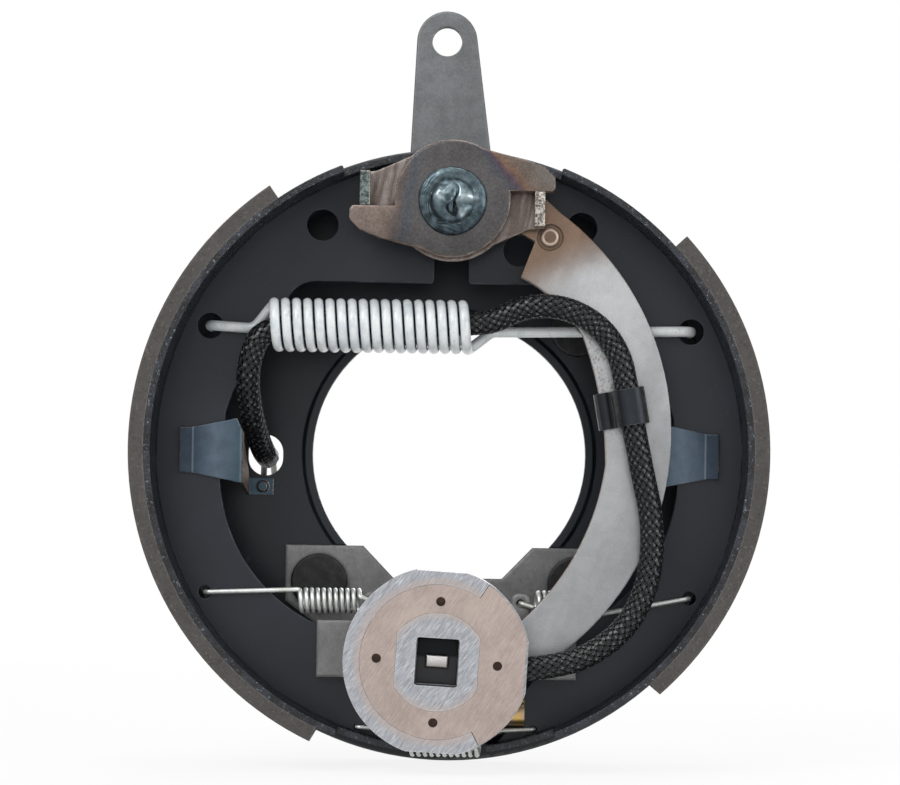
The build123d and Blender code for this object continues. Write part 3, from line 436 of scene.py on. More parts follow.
def sheet_steel(
    steel, edge, roughness, grain=(1, 1, 1), pits=0.35, worn=0.35, grit=0.25, clouding=1.0, rounding=0.7
):
    """Bare sheet steel over a colour: clouds, grit and pits, painted shade in its crevices, rough sheared
    edges and rubbed corners lightened also by a painted highlight.
    """
    face = steel.front_faces()
    clouds = steel.noise(45, 5, 0.6)
    blotches = steel.noise(190, 5, 0.7)
    fine = steel.noise(1700, 3, 0.7, steel.mapped(grain))
    dark = steel.mask(steel.noise(260, 6, 0.75), 0.57, 0.74)
    steel.dim(steel.mask(clouds, 0.72, 0.3), 1 - 0.2 * clouding)
    steel.dim(steel.mask(blotches, 0.6, 0.36), 1 - 0.14 * clouding)
    steel.dim(steel.times(steel.mask(fine, 0.56, 0.36), grit), 0.35)
    steel.dim(steel.times(steel.mask(fine, 0.52, 0.72), grit), 1.7)
    steel.dim(steel.times(dark, pits), 0.4)
    # Painted shade: darker in crevices and where parts lie close, from ambient occlusion.
    steel.dim(steel.mask(steel.openness(3.5), 0.75, 0.3), 0.3)
    broken = steel.noise(330, 5, 0.7, steel.mapped((1, 0.35, 1)))
    sheared = steel.mix(steel.mask(broken, 0.4, 0.62), [part * 0.45 for part in edge], edge)
    steel.paint(steel.mix(face, sheared, steel.colour))
    # Light rubbed edges: partly bare worn steel, partly a painted highlight; the worn strength sets them.
    rubbed = steel.times(steel.edge_band(0.6), steel.mask(steel.noise(120, 5, 0.7), 0.4, 0.6))
    steel.lay(rubbed, worn, tone(226, 220, 214))
    steel.set("Metallic", steel.fit(face, 0.3, 0.6))
    uneven = steel.fit(clouds, 0.2, roughness - 0.1)
    steel.set("Roughness", steel.sum("SUBTRACT", uneven, steel.fit(face, 0.16, -0.16)))
    layers = (clouds, 0.2), (blotches, 0.09), (dark, 0.03), (fine, 0.03)
    steel.relief(*layers, rounding=rounding)


def raw_steel(name, base, edge, roughness, **details):
    """Bare sheet steel of one tone."""
    steel = Finish(name, base, metallic=0.85, roughness=roughness)
    sheet_steel(steel, edge, roughness, **details)
    return steel


def plated_wire(name, base, metallic, roughness, patches, between):
    """Wire with a thin finish: clouds of another tone, painted shade between its coils and small specks."""
    wire = Finish(name, base, metallic=metallic, roughness=roughness)
    clouds = wire.noise(160, 4, 0.6)
    specks = wire.mask(wire.noise(1000, 4, 0.75), 0.63, 0.7)
    stains = wire.mask(wire.noise(260, 5, 0.7, wire.mapped((1, 1, 0.3))), 0.54, 0.7)
    wire.cover(wire.mask(clouds, 0.42, 0.66), patches)
    wire.lay(stains, 0.4, tone(158, 166, 172))
    wire.lay(specks, 0.6, tone(84, 82, 78))
    # Painted shade between the coils, from ambient occlusion: bluish grey where they close in, then the
    # between colour deep in the gaps, which also stands for dirt there.
    gap = wire.openness(1.8)
    wire.cover(wire.mask(gap, 0.85, 0.6), tone(138, 148, 158))
    wire.cover(wire.mask(gap, 0.66, 0.42), between)
    wire.gloss(clouds, 0.25, roughness - 0.1)
    wire.relief((wire.noise(700, 4, 0.6), 0.04), (specks, 0.03))
    return wire


class BRAKE_OT_plate_finish(bpy.types.Operator):
    """Coat the backing plate, its studs, the shoes and the bush, and finish the bracket and clips"""

    bl_idname = "brake.plate_finish"
    bl_label = "Plate and shoes"

    def execute(self, context):
        shades = context.scene.brake_finish
        coat = black_coat("Black coat", shades.coat)
        dress(coat, "backing_plate", "plate_rim", "post_bush")
        shoe_coat = black_coat("Shoe coat", [part * 1.4 for part in shades.coat], 0.65)
        dress(shoe_coat, "left_shoe_web", "right_shoe_web")

        thick = [part * 0.4 for part in shades.coat]
        wet = Finish("Table coat", thick, roughness=0.16, specular=0.45)
        drips = wet.noise(150, 5, 0.75)
        ridges = wet.noise(520, 4, 0.7)
        # Painted glints: tiny light specks, stronger on the front faces, stand in for highlights on the wet
        # coat.
        glint_specks = wet.mask(wet.noise(640, 4, 0.8), 0.6, 0.65)
        glint_specks = wet.times(glint_specks, wet.fit(wet.front_faces(), 0.85, 0.15))
        wet.cover(wet.mask(drips, 0.42, 0.6), [part * 2.1 for part in shades.coat])
        wet.lay(glint_specks, 0.6, tone(150, 160, 168))
        wet.relief((drips, 0.7), (ridges, 0.16), rounding=0.5)
        dress(wet, "left_shoe_table", "right_shoe_table")

        head = Finish("Stud head", tone(24, 24, 26), roughness=0.5, specular=0.34)
        mill = head.noise(240, 5, 0.65)
        # Painted highlight: a light line along the edge of each head.
        rim = head.times(head.edge_band(0.7), 0.6)
        head.paint(head.mix(head.mask(mill, 0.35, 0.7), tone(17, 17, 19), tone(44, 44, 45)))
        head.cover(rim, tone(96, 97, 99))
        head.relief((mill, 0.12), (head.noise(1100, 3, 0.6), 0.03))
        dress(head, "mounting_studs")

        details = {"grain": (1, 1, 0.5), "pits": 0.3, "grit": 0.14, "rounding": 1.8}
        bracket = raw_steel("Bracket steel", shades.bracket_steel, tone(112, 108, 102), 0.46, **details)
        dress(bracket, "arm_guide_bracket")

        tip_length = 5.5 * MM
        blued = Finish("Blued clip", shades.clip_steel, metallic=0.85)
        outward = blued.sum("ABSOLUTE", blued.split(blued.place)[0])
        wander = blued.fit(blued.noise(60, 3, 0.5), 6 * MM, -3 * MM)
        tint = blued.ramp(
            blued.stretch(blued.sum("ADD", outward, wander), 70 * MM, 110 * MM),
            (0.0, tone(60, 74, 84)), (0.35, tone(74, 92, 104)), (0.6, tone(96, 110, 124)),
            (0.8, tone(66, 78, 92)), (1.0, tone(48, 56, 66)),
        )
        blued.paint(tint)
        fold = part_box("right_hold_clip")[1][0] - tip_length
        # Painted shade on the bent tip past the fold, and a painted highlight along the bend.
        blued.dim(blued.mask(outward, fold, fold + 0.8 * MM), 0.78)
        crease = blued.mask(blued.sum("ABSOLUTE", blued.sum("SUBTRACT", outward, fold)), 0.5 * MM, 0.2 * MM)
        blued.lay(crease, 0.32, tone(150, 162, 172))
        sheet_steel(blued, tone(118, 100, 88), 0.3, pits=0.15, worn=0.6, grit=0.06)
        dress(blued, "left_hold_clip", "right_hold_clip")

        window = raw_steel("Window clip", tone(30, 31, 33), tone(60, 58, 56), 0.35, pits=0.1, grit=0.02)
        low = window.along((0, 0, 1), MAGNET_CENTRE)
        lug = window.mask(low, 2.2 * MM, 1.4 * MM)
        window.lay(lug, 0.25, tone(96, 96, 98))
        dress(window, "magnet_clip")

        rubber = Finish("Plug rubber", tone(30, 30, 31), roughness=0.75, specular=0.3)
        bloom = rubber.noise(300, 5, 0.6)
        rubber.paint(rubber.mix(bloom, tone(22, 22, 23), tone(46, 46, 46)))
        rubber.relief((bloom, 0.06))
        dress(rubber, "slot_plug")
        return {"FINISHED"}


class BRAKE_OT_lining_finish(bpy.types.Operator):
    """Finish the moulded friction linings"""

    bl_idname = "brake.lining_finish"
    bl_label = "Linings"

    def execute(self, context):
        base = context.scene.brake_finish.lining
        lining = Finish("Lining compound", base, roughness=0.85, specular=0.25)
        clouds = lining.noise(70, 5, 0.62)
        grain = lining.noise(1300, 4, 0.7)
        tint = lining.split(lining.cells(1500, output="Color"))[0]
        lining.dim(lining.mask(clouds, 0.68, 0.32), 0.84)
        lining.lay(lining.mask(tint, 0.95, 0.97), 0.4, tone(118, 112, 104))
        lining.dim(lining.times(lining.mask(tint, 0.1, 0.07), 0.5), 0.5)
        lining.lay(lining.mask(grain, 0.5, 0.7), 0.2, tone(118, 112, 106))
        chips = lining.mask(lining.noise(420, 5, 0.75), 0.44, 0.56)
        edge = lining.times(lining.edge_band(1.0), chips)
        lining.dim(lining.times(chips, 0.5), 0.8)
        lining.lay(edge, 0.6, tone(146, 136, 126))
        lining.relief((clouds, 0.25), (grain, 0.12))
        dress(lining, "left_lining", "right_lining")
        return {"FINISHED"}


class BRAKE_OT_spring_finish(bpy.types.Operator):
    """Paint the upper spring and plate the small springs"""

    bl_idname = "brake.spring_finish"
    bl_label = "Springs"

    def execute(self, context):
        shades = context.scene.brake_finish
        white = shades.spring_paint
        paint = plated_wire("Spring paint", white, 0.0, 0.26, tone(206, 213, 217), tone(30, 27, 26))
        paint.set("Coat Weight", 0.5)
        dress(paint, "upper_spring")
        bright = shades.zinc
        zinc = plated_wire("Bright zinc", bright, 0.5, 0.32, tone(204, 206, 198), tone(46, 46, 48))
        dress(zinc, "lower_left_spring", "lower_right_spring", "adjuster_spring", "magnet_spring")

        coil = bmesh.new()
        coil.from_mesh(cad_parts["magnet_spring"].data)
        bmesh.ops.remove_doubles(coil, verts=coil.verts, dist=1e-6)
        mesh = as_mesh("magnet_spring_coil", coil)
        item = piece("magnet_spring_coil", mesh, (zinc,))
        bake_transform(item)
        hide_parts("magnet_spring")
        return {"FINISHED"}


class BRAKE_OT_steel_finish(bpy.types.Operator):
    """Finish the arm, the parking lever, the driver plate, the expander and the pin"""

    bl_idname = "brake.steel_finish"
    bl_label = "Arm, lever and driver"

    def execute(self, context):
        shades = context.scene.brake_finish
        base = shades.arm_steel
        arm = Finish("Arm steel", base, metallic=0.85)
        z = arm.split(arm.place)[2]
        wander = arm.fit(arm.noise(45, 4, 0.6), 40 * MM, -20 * MM)
        # Painted shade: the arm gets darker towards the bottom.
        rise = arm.sum("ADD", z, wander)
        arm.paint(arm.mix(arm.mask(rise, -60 * MM, 75 * MM), [part * 0.72 for part in base], base))
        beside = arm.mask(arm.along((0.93, 0, 0.368)), 74 * MM, 72 * MM)
        strip = arm.times(beside, arm.times(arm.mask(z, 2 * MM, 16 * MM), arm.mask(z, 56 * MM, 44 * MM)))
        rust = arm.times(strip, arm.mask(arm.noise(800, 5, 0.85), 0.5, 0.6))
        arm.lay(rust, 0.7, tone(112, 92, 80))
        warm = arm.times(arm.edge_band(1.2), arm.mask(arm.noise(40, 4, 0.6), 0.45, 0.6))
        arm.lay(warm, 0.85, tone(158, 116, 90))
        burnt = arm.sum("SUBTRACT", arm.along((-0.5, 0, 0.87), PIN_CENTRE), arm.times(wander, 0.25))
        arm.cover(arm.mask(burnt, -26 * MM, -4 * MM), tone(136, 114, 98))
        # Painted shade: darker towards the arm's right-hand end.
        low = arm.mask(arm.along((1, 0, 0.1)), 60 * MM, 88 * MM)
        arm.dim(arm.times(low, 0.5), 0.75)
        bands = arm.noise(70, 3, 0.5, arm.mapped((1, 1, 0.16), (0, -20, 0)))
        arm.dim(arm.times(arm.mask(bands, 0.46, 0.62), 0.6), 0.82)
        sheet_steel(arm, tone(142, 124, 110), 0.36, pits=0.1, worn=0.35, grit=0.12, clouding=0.5)
        dress(arm, "actuating_arm")

        lug = Finish("Post steel", tone(206, 203, 200), metallic=0.85)
        # Painted highlight and shade: the post is bright above the magnet's centre and darker below.
        rise = lug.mask(lug.along((0, 0, 1), MAGNET_CENTRE), -2.0 * MM, 1.6 * MM)
        lug.paint(lug.mix(rise, tone(176, 171, 168), tone(232, 230, 228)))
        sheet_steel(lug, tone(120, 118, 116), 0.3, pits=0.1, worn=0.5, grit=0.1)
        dress(lug, "magnet_post")

        details = {"grain": (1, 1, 0.5), "pits": 0.3, "worn": 0.5, "grit": 0.2}
        lever = raw_steel("Lever steel", shades.lever_steel, tone(96, 94, 93), 0.5, **details)
        dress(lever, "park_lever", "cam_post", "shoe_cam")

        driver = Finish("Driver steel", shades.driver_steel, metallic=0.85)
        ripple = driver.fit(driver.noise(90, 4, 0.6), 7 * MM, -3.5 * MM)
        stripe = driver.sum("ADD", driver.along((0.745, 0, 0.668), STRIPE_CENTRE), ripple)
        right = driver.ramp(
            driver.stretch(stripe, -6 * MM, 10 * MM),
            (0.08, shades.driver_steel), (0.2, tone(88, 92, 99)), (0.34, tone(100, 86, 96)),
            (0.46, tone(134, 108, 92)), (0.62, tone(126, 112, 104)), (1.0, tone(124, 117, 112)),
        )
        left = driver.ramp(
            driver.stretch(driver.sum("ADD", driver.along((-1, 0, 0.15)), ripple), 29 * MM, 43 * MM),
            (0.0, shades.driver_steel), (0.25, tone(92, 97, 104)), (0.5, tone(112, 102, 99)),
            (0.75, tone(142, 126, 118)), (1.0, tone(152, 137, 129)),
        )
        driver.paint(driver.mix(driver.mask(driver.split(driver.place)[0], -1 * MM, 1 * MM), left, right))
        # Painted shade: the plate gets darker towards the bottom.
        low = driver.mask(driver.split(driver.place)[2], 104 * MM, 80 * MM)
        driver.dim(driver.times(low, 0.8), 0.72)
        flecks = driver.mask(driver.noise(900, 5, 0.85), 0.56, 0.44)
        driver.dim(flecks, 0.76)
        broken = driver.mask(driver.noise(420, 4, 0.7), 0.42, 0.6)
        # Light edges: partly blasted steel, partly a painted highlight.
        blasted_and_lit_edges = driver.times(driver.edge_band(1.6), broken)
        driver.lay(blasted_and_lit_edges, 0.6, tone(176, 152, 140))
        sheet_steel(driver, tone(150, 126, 112), 0.36, pits=0.5, worn=0.6, grit=0.2, rounding=1.5)
        dress(driver, "driver_plate")

        ears = Finish("Expander steel", tone(146, 138, 135), metallic=0.85)
        x, y = ears.split(ears.place)[:2]
        upright = ears.mask(ears.noise(300, 4, 0.6, ears.mapped((1, 1, 0.1), (0, -12, 0))), 0.42, 0.62)
        ears.paint(ears.mix(upright, tone(116, 104, 98), tone(156, 147, 144)))
        ahead = ears.mask(y, -64 * MM, -65 * MM)
        teal = ears.times(ahead, ears.mask(x, 2 * MM, -2 * MM))
        silver = ears.times(ahead, ears.mask(x, -2 * MM, 2 * MM))
        # Painted glints: light specks over the teal scale and over the silver end of the ear.
        glints = ears.mask(ears.noise(700, 4, 0.7), 0.4, 0.6)
        scale_and_glints = ears.mix(glints, tone(48, 60, 60), tone(132, 152, 148))
        ears.lay(teal, 0.85, scale_and_glints)
        bright = ears.mix(glints, tone(96, 90, 86), tone(224, 218, 208))
        ears.cover(silver, bright)
        # Light edges: partly blasted steel, partly a painted highlight.
        blasted_and_lit_edges = ears.times(ears.edge_band(1.2), glints)
        ears.lay(blasted_and_lit_edges, 0.7, tone(206, 188, 178))
        sheet_steel(ears, tone(162, 142, 130), 0.4, pits=0.4, worn=0.5, rounding=1.0)
        dress(ears, "expander")

        pin = raw_steel("Pin steel", tone(126, 106, 92), tone(96, 84, 70), 0.45, pits=0.5)
        ring = pin.mask(pin.reach(PIN_CENTRE, (1, 0, 1)), 2.2 * MM, 2.6 * MM)
        pin.cover(ring, tone(188, 170, 156))
        dress(pin, "arm_pin")

        hook = Finish("Cable clip steel", tone(46, 49, 53), metallic=0.7)
        across = hook.along((cos(CLIP_TILT), 0, sin(CLIP_TILT)), CLIP_CENTRE)
        # Bands across the clip: a bare flange edge, then painted shade in the grooves and painted
        # highlights on the ridges of its folds.
        shade = hook.ramp(
            hook.stretch(across, -13.2 * MM, 6 * MM),
            (0.0, tone(96, 96, 98)), (0.07, tone(36, 38, 41)), (0.2, tone(58, 61, 65)),
            (0.26, tone(12, 13, 14)), (0.34, tone(66, 70, 74)), (0.4, tone(14, 15, 16)),
            (0.48, tone(36, 38, 42)), (0.62, tone(58, 62, 68)), (0.95, tone(44, 47, 51)),
        )
        hook.paint(shade)
        sheet_steel(hook, tone(70, 70, 72), 0.32, pits=0.15, worn=0.25, grit=0.06)
        dress(hook, "cable_clip")
        return {"FINISHED"}


class BRAKE_OT_magnet_finish(bpy.types.Operator):
    """Finish the magnet's ground poles, its friction ring and its winding"""

    bl_idname = "brake.magnet_finish"
    bl_label = "Magnet"

    def execute(self, context):
        shades = context.scene.brake_finish
        base = shades.pole_steel
        ring_inner = 17.6 * MM
        ring_outer = 35.4 * MM
        pole = Finish("Ground pole", base, metallic=0.85, roughness=0.34)
        face = pole.front_faces()
        fine = pole.noise(4600, 2, 0.6, pole.mapped((1, 1, 0.05), (0, -32, 0)))
        cross = pole.noise(3800, 2, 0.6, pole.mapped((1, 1, 0.06), (0, -42, 0)))
        stain = pole.mask(pole.noise(120, 5, 0.7), 0.58, 0.76)
        marks = pole.times(pole.mask(fine, 0.44, 0.64), face)
        pole.dim(pole.times(marks, 0.85), 0.62)
        scratches = pole.times(pole.mask(cross, 0.52, 0.64), 0.5)
        pole.cover(scratches, tone(226, 230, 234))
        pole.lay(stain, 0.25, tone(128, 122, 118))
        rust = pole.mask(pole.noise(330, 5, 0.7), 0.42, 0.62)
        shell = pole.mix(rust, tone(82, 80, 79), tone(118, 116, 114))
        far = pole.fit(pole.noise(260, 4, 0.7), 3 * MM, pole.reach(MAGNET_CENTRE, (1, 0, 1)))
        outside = pole.mask(far, ring_inner, ring_inner + 2.8 * MM)
        rubbed_in = pole.times(outside, pole.mask(far, ring_outer, ring_outer - 2.2 * MM))
        pole.lay(rubbed_in, 0.55, shades.friction)
        pole.paint(pole.mix(face, shell, pole.colour))
        # Light rubbed edges: partly bare worn steel, partly a painted highlight.
        rubbed = pole.times(pole.edge_band(0.6), pole.mask(pole.noise(60, 4, 0.6), 0.42, 0.6))
        pole.lay(rubbed, 0.7, tone(236, 238, 240))
        pole.gloss(fine, 0.3, 0.2)
        pole.relief((fine, 0.06), (cross, 0.04))
        dress(pole, "magnet_shell", "magnet_core")

        pad = Finish("Friction ring", shades.friction, roughness=0.6, specular=0.3)
        grain = pad.noise(1100, 4, 0.7)
        lines = pad.noise(3600, 3, 0.7, pad.mapped((1, 1, 0.08), (0, -32, 0)))
        worn = pad.noise(85, 5, 0.6)
        pad.dim(pad.mask(worn, 0.68, 0.32), 0.82)
        pad.lay(pad.mask(lines, 0.5, 0.68), 0.35, tone(208, 194, 184))
        pad.dim(pad.times(pad.mask(lines, 0.46, 0.34), 0.5), 0.72)
        pad.dim(pad.times(pad.mask(grain, 0.58, 0.72), 0.4), 0.62)
        pad.relief((worn, 0.3), (grain, 0.05), (lines, 0.04))
        dress(pad, "friction_ring")

        potting = Finish("Winding", tone(84, 66, 56), metallic=0.3, roughness=0.5)
        turns = potting.noise(260, 3, 0.5, potting.mapped((1, 9, 1)))
        potting.paint(potting.mix(turns, tone(48, 38, 34), tone(124, 98, 84)))
        potting.relief((turns, 0.2))
        dress(potting, "magnet_winding")
        return {"FINISHED"}


class BRAKE_OT_adjuster_finish(bpy.types.Operator):
    """Plate the adjuster with yellow zinc"""

    bl_idname = "brake.adjuster_finish"
    bl_label = "Adjuster"

    def execute(self, context):
        yellow = Finish("Yellow zinc", tone(196, 168, 104), metallic=0.9, roughness=0.3)
        clouds = yellow.noise(150, 4, 0.55, twist=0.6)
        shade = yellow.ramp(
            clouds,
            (0.3, tone(168, 148, 112)), (0.44, tone(206, 178, 102)), (0.56, tone(196, 158, 128)),
            (0.68, tone(168, 178, 138)), (0.8, tone(200, 170, 96)),
        )
        yellow.paint(shade)
        yellow.gloss(yellow.noise(420, 4, 0.6), 0.3, 0.18)
        yellow.relief((yellow.noise(800, 4, 0.6), 0.03))
        dress(yellow, "adjuster_nut", "adjuster_socket", "adjuster_screw")
        return {"FINISHED"}


def smooth_line(name, points, radius=0.0):
    """A curve of one smooth open spline; its order is set once its points are there."""
    data = bpy.data.curves.new(name, "CURVE")
    data.dimensions = "3D"
    data.resolution_u = 24
    spline = data.splines.new("NURBS")
    spline.points.add(len(points) - 1)
    for spot, point in zip(spline.points, points):
        spot.co = (*point, 1)
    spline.order_u = 3
    spline.use_endpoint_u = True
    data.bevel_depth = radius
    data.bevel_resolution = 6
    data.use_fill_caps = True
    return placed(name, data)


def line_points(points):
    """The points of the smooth line through a route."""
    item = smooth_line("Line", points)
    bpy.context.view_layer.update()
    mesh = bpy.data.meshes.new_from_object(item)
    spots = [vertex.co.copy() for vertex in mesh.vertices]
    bpy.data.meshes.remove(mesh)
    bpy.data.objects.remove(item)
    return spots


def even_line(spots, step):
    """Walks a line in even steps and gives each spot with its axes, which turn as little as they can."""
    walked = [0.0]
    for before, after in zip(spots, spots[1:]):
        walked.append(walked[-1] + (after - before).length)
    count = max(2, round(walked[-1] / step))
    stations = []
    leg = 0
    for index in range(count + 1):
        target = walked[-1] * index / count
        while leg < len(walked) - 2 and walked[leg + 1] < target:
            leg += 1
        share = (target - walked[leg]) / max(walked[leg + 1] - walked[leg], 1e-9)
        stations.append(spots[leg].lerp(spots[leg + 1], share))
    axes = []
    side = Vector((0, 1, 0.3))
    for index in range(count + 1):
        ahead = stations[min(index + 1, count)] - stations[max(index - 1, 0)]
        ahead.normalize()
        side = (side - ahead * side.dot(ahead)).normalized()
        axes.append((stations[index], side.copy(), ahead.cross(side)))
    return walked[-1] / count, axes


def nearest(axes, point):
    """The number of the station nearest a point."""
    return min(range(len(axes)), key=lambda index: (axes[index][0] - point).length)


def join_rings(body, before, ring, material=0, flipped=False):
    """Faces between two rings of corners."""
    for corner in range(len(ring)):
        turn = (corner + 1) % len(ring)
        quad = (before[corner], before[turn], ring[turn], ring[corner])
        face = body.faces.new(quad[::-1] if flipped else quad)
        face.material_index = material


def braid_mesh(name, axes, first, last, step, settings):
    """The strands of the braid between two stations, of three threads each, with a dark core inside."""
    body = bmesh.new()
    crest_light = body.verts.layers.float.new("crest_light")
    count = settings.strands
    half_thick = settings.strand_thickness / 2
    swell = settings.strand_thickness * 0.5
    middle = settings.sleeve_radius - half_thick - swell
    half_width = settings.strand_width / 2
    section = [(-half_width, -half_thick)]
    section += [
        (half_width * (place - 3) / 3, half_thick * (1 if place % 2 else 0.2)) for place in range(7)
    ]
    section.append((half_width, -half_thick))
    lean = atan2(tau * middle, settings.pitch)
    for way in (1, -1):
        for strand in range(count):
            previous = None
            for index in range(first, last + 1):
                spot, side, up = axes[index]
                ahead = side.cross(up).normalized()
                walked = index * step / settings.pitch
                angle = way * tau * walked + tau * strand / count
                wave = cos(tau * count * walked) * way
                out = side * cos(angle) + up * sin(angle)
                round_about = (up * cos(angle) - side * sin(angle)) * way
                across = round_about * cos(lean) - ahead * sin(lean)
                centre = spot + out * (middle + swell * wave)
                ring = []
                for x, y in section:
                    corner = body.verts.new(centre + across * x + out * y)
                    # Painted light: the crest value is bright on the middle thread at the wave's crest and
                    # dark in the dips and valleys.
                    thread = 1.0 if x * way < 0.1 * half_width else 0.6
                    ridge = thread if y > half_thick / 2 else 0.25
                    corner[crest_light] = (0.5 + 0.5 * wave) * ridge if y > 0 else 0.0
                    ring.append(corner)
                if previous is not None:
                    join_rings(body, previous, ring, flipped=way < 0)
                previous = ring
    # A near-black core stands for the wires inside, painted as the sleeve's shade.
    core = middle - half_thick - swell
    previous = None
    for index in range(first, last + 1, 2):
        spot, side, up = axes[index]
        turns = [tau * corner / CORE_SIDES for corner in range(CORE_SIDES)]
        ring = [body.verts.new(spot + (side * cos(turn) + up * sin(turn)) * core) for turn in turns]
        if previous is not None:
            join_rings(body, previous, ring, material=1)
        previous = ring
    bmesh.ops.recalc_face_normals(body, faces=body.faces)
    return as_mesh(name, body)


class BRAKE_OT_lead(bpy.types.Operator):
    """Braid the lead's sleeve and hang the two wires behind the plate"""

    bl_idname = "brake.lead"
    bl_label = "Lead"

    def execute(self, context):
        settings = context.scene.brake_lead
        base = settings.braid
        strand = Finish("Braid strand", base, roughness=0.25, specular=0.3)
        sheen = strand.noise(900, 4, 0.6)
        crest_light = strand.add("ShaderNodeAttribute", attribute_name="crest_light").outputs["Fac"]
        spark = strand.mask(strand.noise(520, 4, 0.8), 0.48, 0.55)
        # Painted highlights on the strands' crests and painted shade in their dips; glints and the sheen
        # noise add painted highlights.
        shade = strand.ramp(
            crest_light, (0.1, tone(4, 4, 5)), (0.46, base), (0.7, tone(32, 34, 37)), (0.95, tone(66, 69, 74))
        )
        strand.paint(shade)
        glint = strand.times(strand.mask(crest_light, 0.66, 0.98), spark)
        strand.lay(glint, 0.85, tone(206, 211, 220))
        strand.dim(strand.mask(sheen, 0.5, 0.3), 0.6)
        strand.gloss(sheen, 0.3, 0.1)
        # Painted shade: the core is near black, as the wires inside lie in the sleeve's shade.
        core = Finish("Sleeve core", tone(8, 8, 9), roughness=0.95, specular=0.02)
        weave = core.noise(900, 3, 0.5)
        core.paint(core.mix(weave, tone(4, 4, 5), tone(12, 12, 13)))

        whole = line_points([*PLATE_RUN, *SWING_LOOP, *MAGNET_RUN])
        step, axes = even_line(whole, settings.pitch / settings.strands / STEPS_PER_CROSSING)
        leaves_plate = nearest(axes, PLATE_RUN[-1])
        meets_arm = nearest(axes, SWING_LOOP[-1])
        leaves_arm = nearest(axes, LAST_ON_ARM)
        for name, node, first, last, bodies in (
            ("lead_plate_run_braid", "lead_plate_run", 0, leaves_plate, ("backing",)),
            ("lead_swing_loop_braid", "lead_swing_loop", leaves_plate, meets_arm, ("backing", "arm")),
            ("lead_magnet_run_braid", "lead_magnet_run", meets_arm, leaves_arm, ("arm",)),
            ("lead_magnet_end_braid", "lead_magnet_run", leaves_arm, len(axes) - 1, ("arm", "magnet")),
        ):
            mesh = braid_mesh(name, axes, first, last, step, settings)
            if len(bodies) == 1:
                item = piece(name, mesh, (strand, core), bodies[0])
            else:
                item = piece(name, mesh, (strand, core))
                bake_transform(item)
            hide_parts(node)

        for name, node, points, span, shade, record_slot in (
            ("lead_wire_black", "lead_wire_a", WIRE_A, 0.0912, tone(30, 30, 32), "wire_black"),
            ("lead_wire_white", "lead_wire_b", WIRE_B, 0.0911, tone(214, 212, 204), "wire_white"),
        ):
            skin = Finish(f"{name} skin", shade, roughness=0.42)
            grime = skin.mask(skin.noise(160, 5, 0.6), 0.45, 0.75)
            skin.cover(grime, [part * 0.6 for part in shade])
            skin.relief((skin.noise(500, 3, 0.5), 0.05))
            wire = smooth_line(name, points, settings.wire_radius)
            wire.data.materials.append(skin.material)
            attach(wire, "backing")
            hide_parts(node)
        return {"FINISHED"}


def bump(distance, width):
    """A soft bump of height 1."""
    return exp(-((distance / width) ** 2))


def lobe(x, y, right, up, width, radius=0.0):
    """A soft bump on a spot, or along a ring round it, given in millimetres."""
    return bump(hypot(x - right * MM, y - up * MM) - radius * MM, width * MM)


def weld_form(x, y, settings):
    """The height of the weld over the driver plate, and the painted highlight and shade on its skin, at a
    spot.
    """
    angle = atan2(y, x)
    share = hypot(x, y) / settings.skirt
    spot = Vector((x, y, 0))
    collar_middle = 0.78
    collar_half = 0.22
    mound_reach = 0.74
    collar = max(0.0, 1 - ((share - collar_middle) / collar_half) ** 2) ** 0.5
    mound = max(0.0, 1 - (share / mound_reach) ** 2) ** 0.6
    high = max(settings.skirt_height * collar, settings.height * mound)
    warp = 2.4 * MM
    waves = 170
    x += warp * noise.noise(spot * waves)
    y += warp * noise.noise(spot * waves + Vector((9, 4, 2)))
    warped = hypot(x, y)
    ball = lobe(x, y, 5.4, 1.8, 3.1)
    low_lobe = lobe(x, y, 4.2, -5.2, 2.3)
    crescent = bump(warped - 6.4 * MM, 1.2 * MM) * bump(angle_between(angle, radians(150)), radians(60))
    hook = lobe(x, y, -2.6, 1.6, 0.7, radius=2.6) * bump(angle_between(angle, pi), 1.6)
    seam = bump(x - 1.5 * MM - 1.2 * MM * sin(y / MM * 0.45), 0.6 * MM) * bump(y, 5.0 * MM)
    under = lobe(x, y, -0.8, -3.2, 0.6, radius=2.4) * bump(y + 5 * MM, 3.5 * MM)
    left = max(0.0, -cos(angle - 0.5))
    rings = sin(tau * (warped / (1.0 * MM))) * (0.2 + 0.8 * left) * (share > 0.6)
    rough = noise.noise(spot * 620) * 0.6 + noise.noise(spot * 280)
    fade = min(1.0, (1 - share) / 0.08)
    high += MM * (1.5 * ball + 1.1 * low_lobe + 1.1 * crescent + 0.6 * hook - 1.2 * seam - 0.7 * under)
    high += settings.ripple * fade * (rings + rough)
    # Painted light: highlights on the ball, lobes and crescent, shade in the seam, under the hook and in
    # the groove inside the collar, and the upper side of the collar lighter.
    bright = 0.3 + 0.6 * ball + 0.34 * low_lobe + 0.36 * crescent + 0.3 * hook
    bright -= 0.42 * seam + 0.36 * under
    bright += 0.15 * rings * fade + 0.22 * rough + 0.1 * sin(angle) * (share > 0.66)
    bright -= 0.25 * bump(share - 0.63, 0.05)
    return max(0.0, high) if share < 0.995 else -0.02 * MM, max(0.0, min(1.0, bright))


def angle_between(first, second):
    """The smaller angle between two directions."""
    gap = abs(first - second) % tau
    return min(gap, tau - gap)


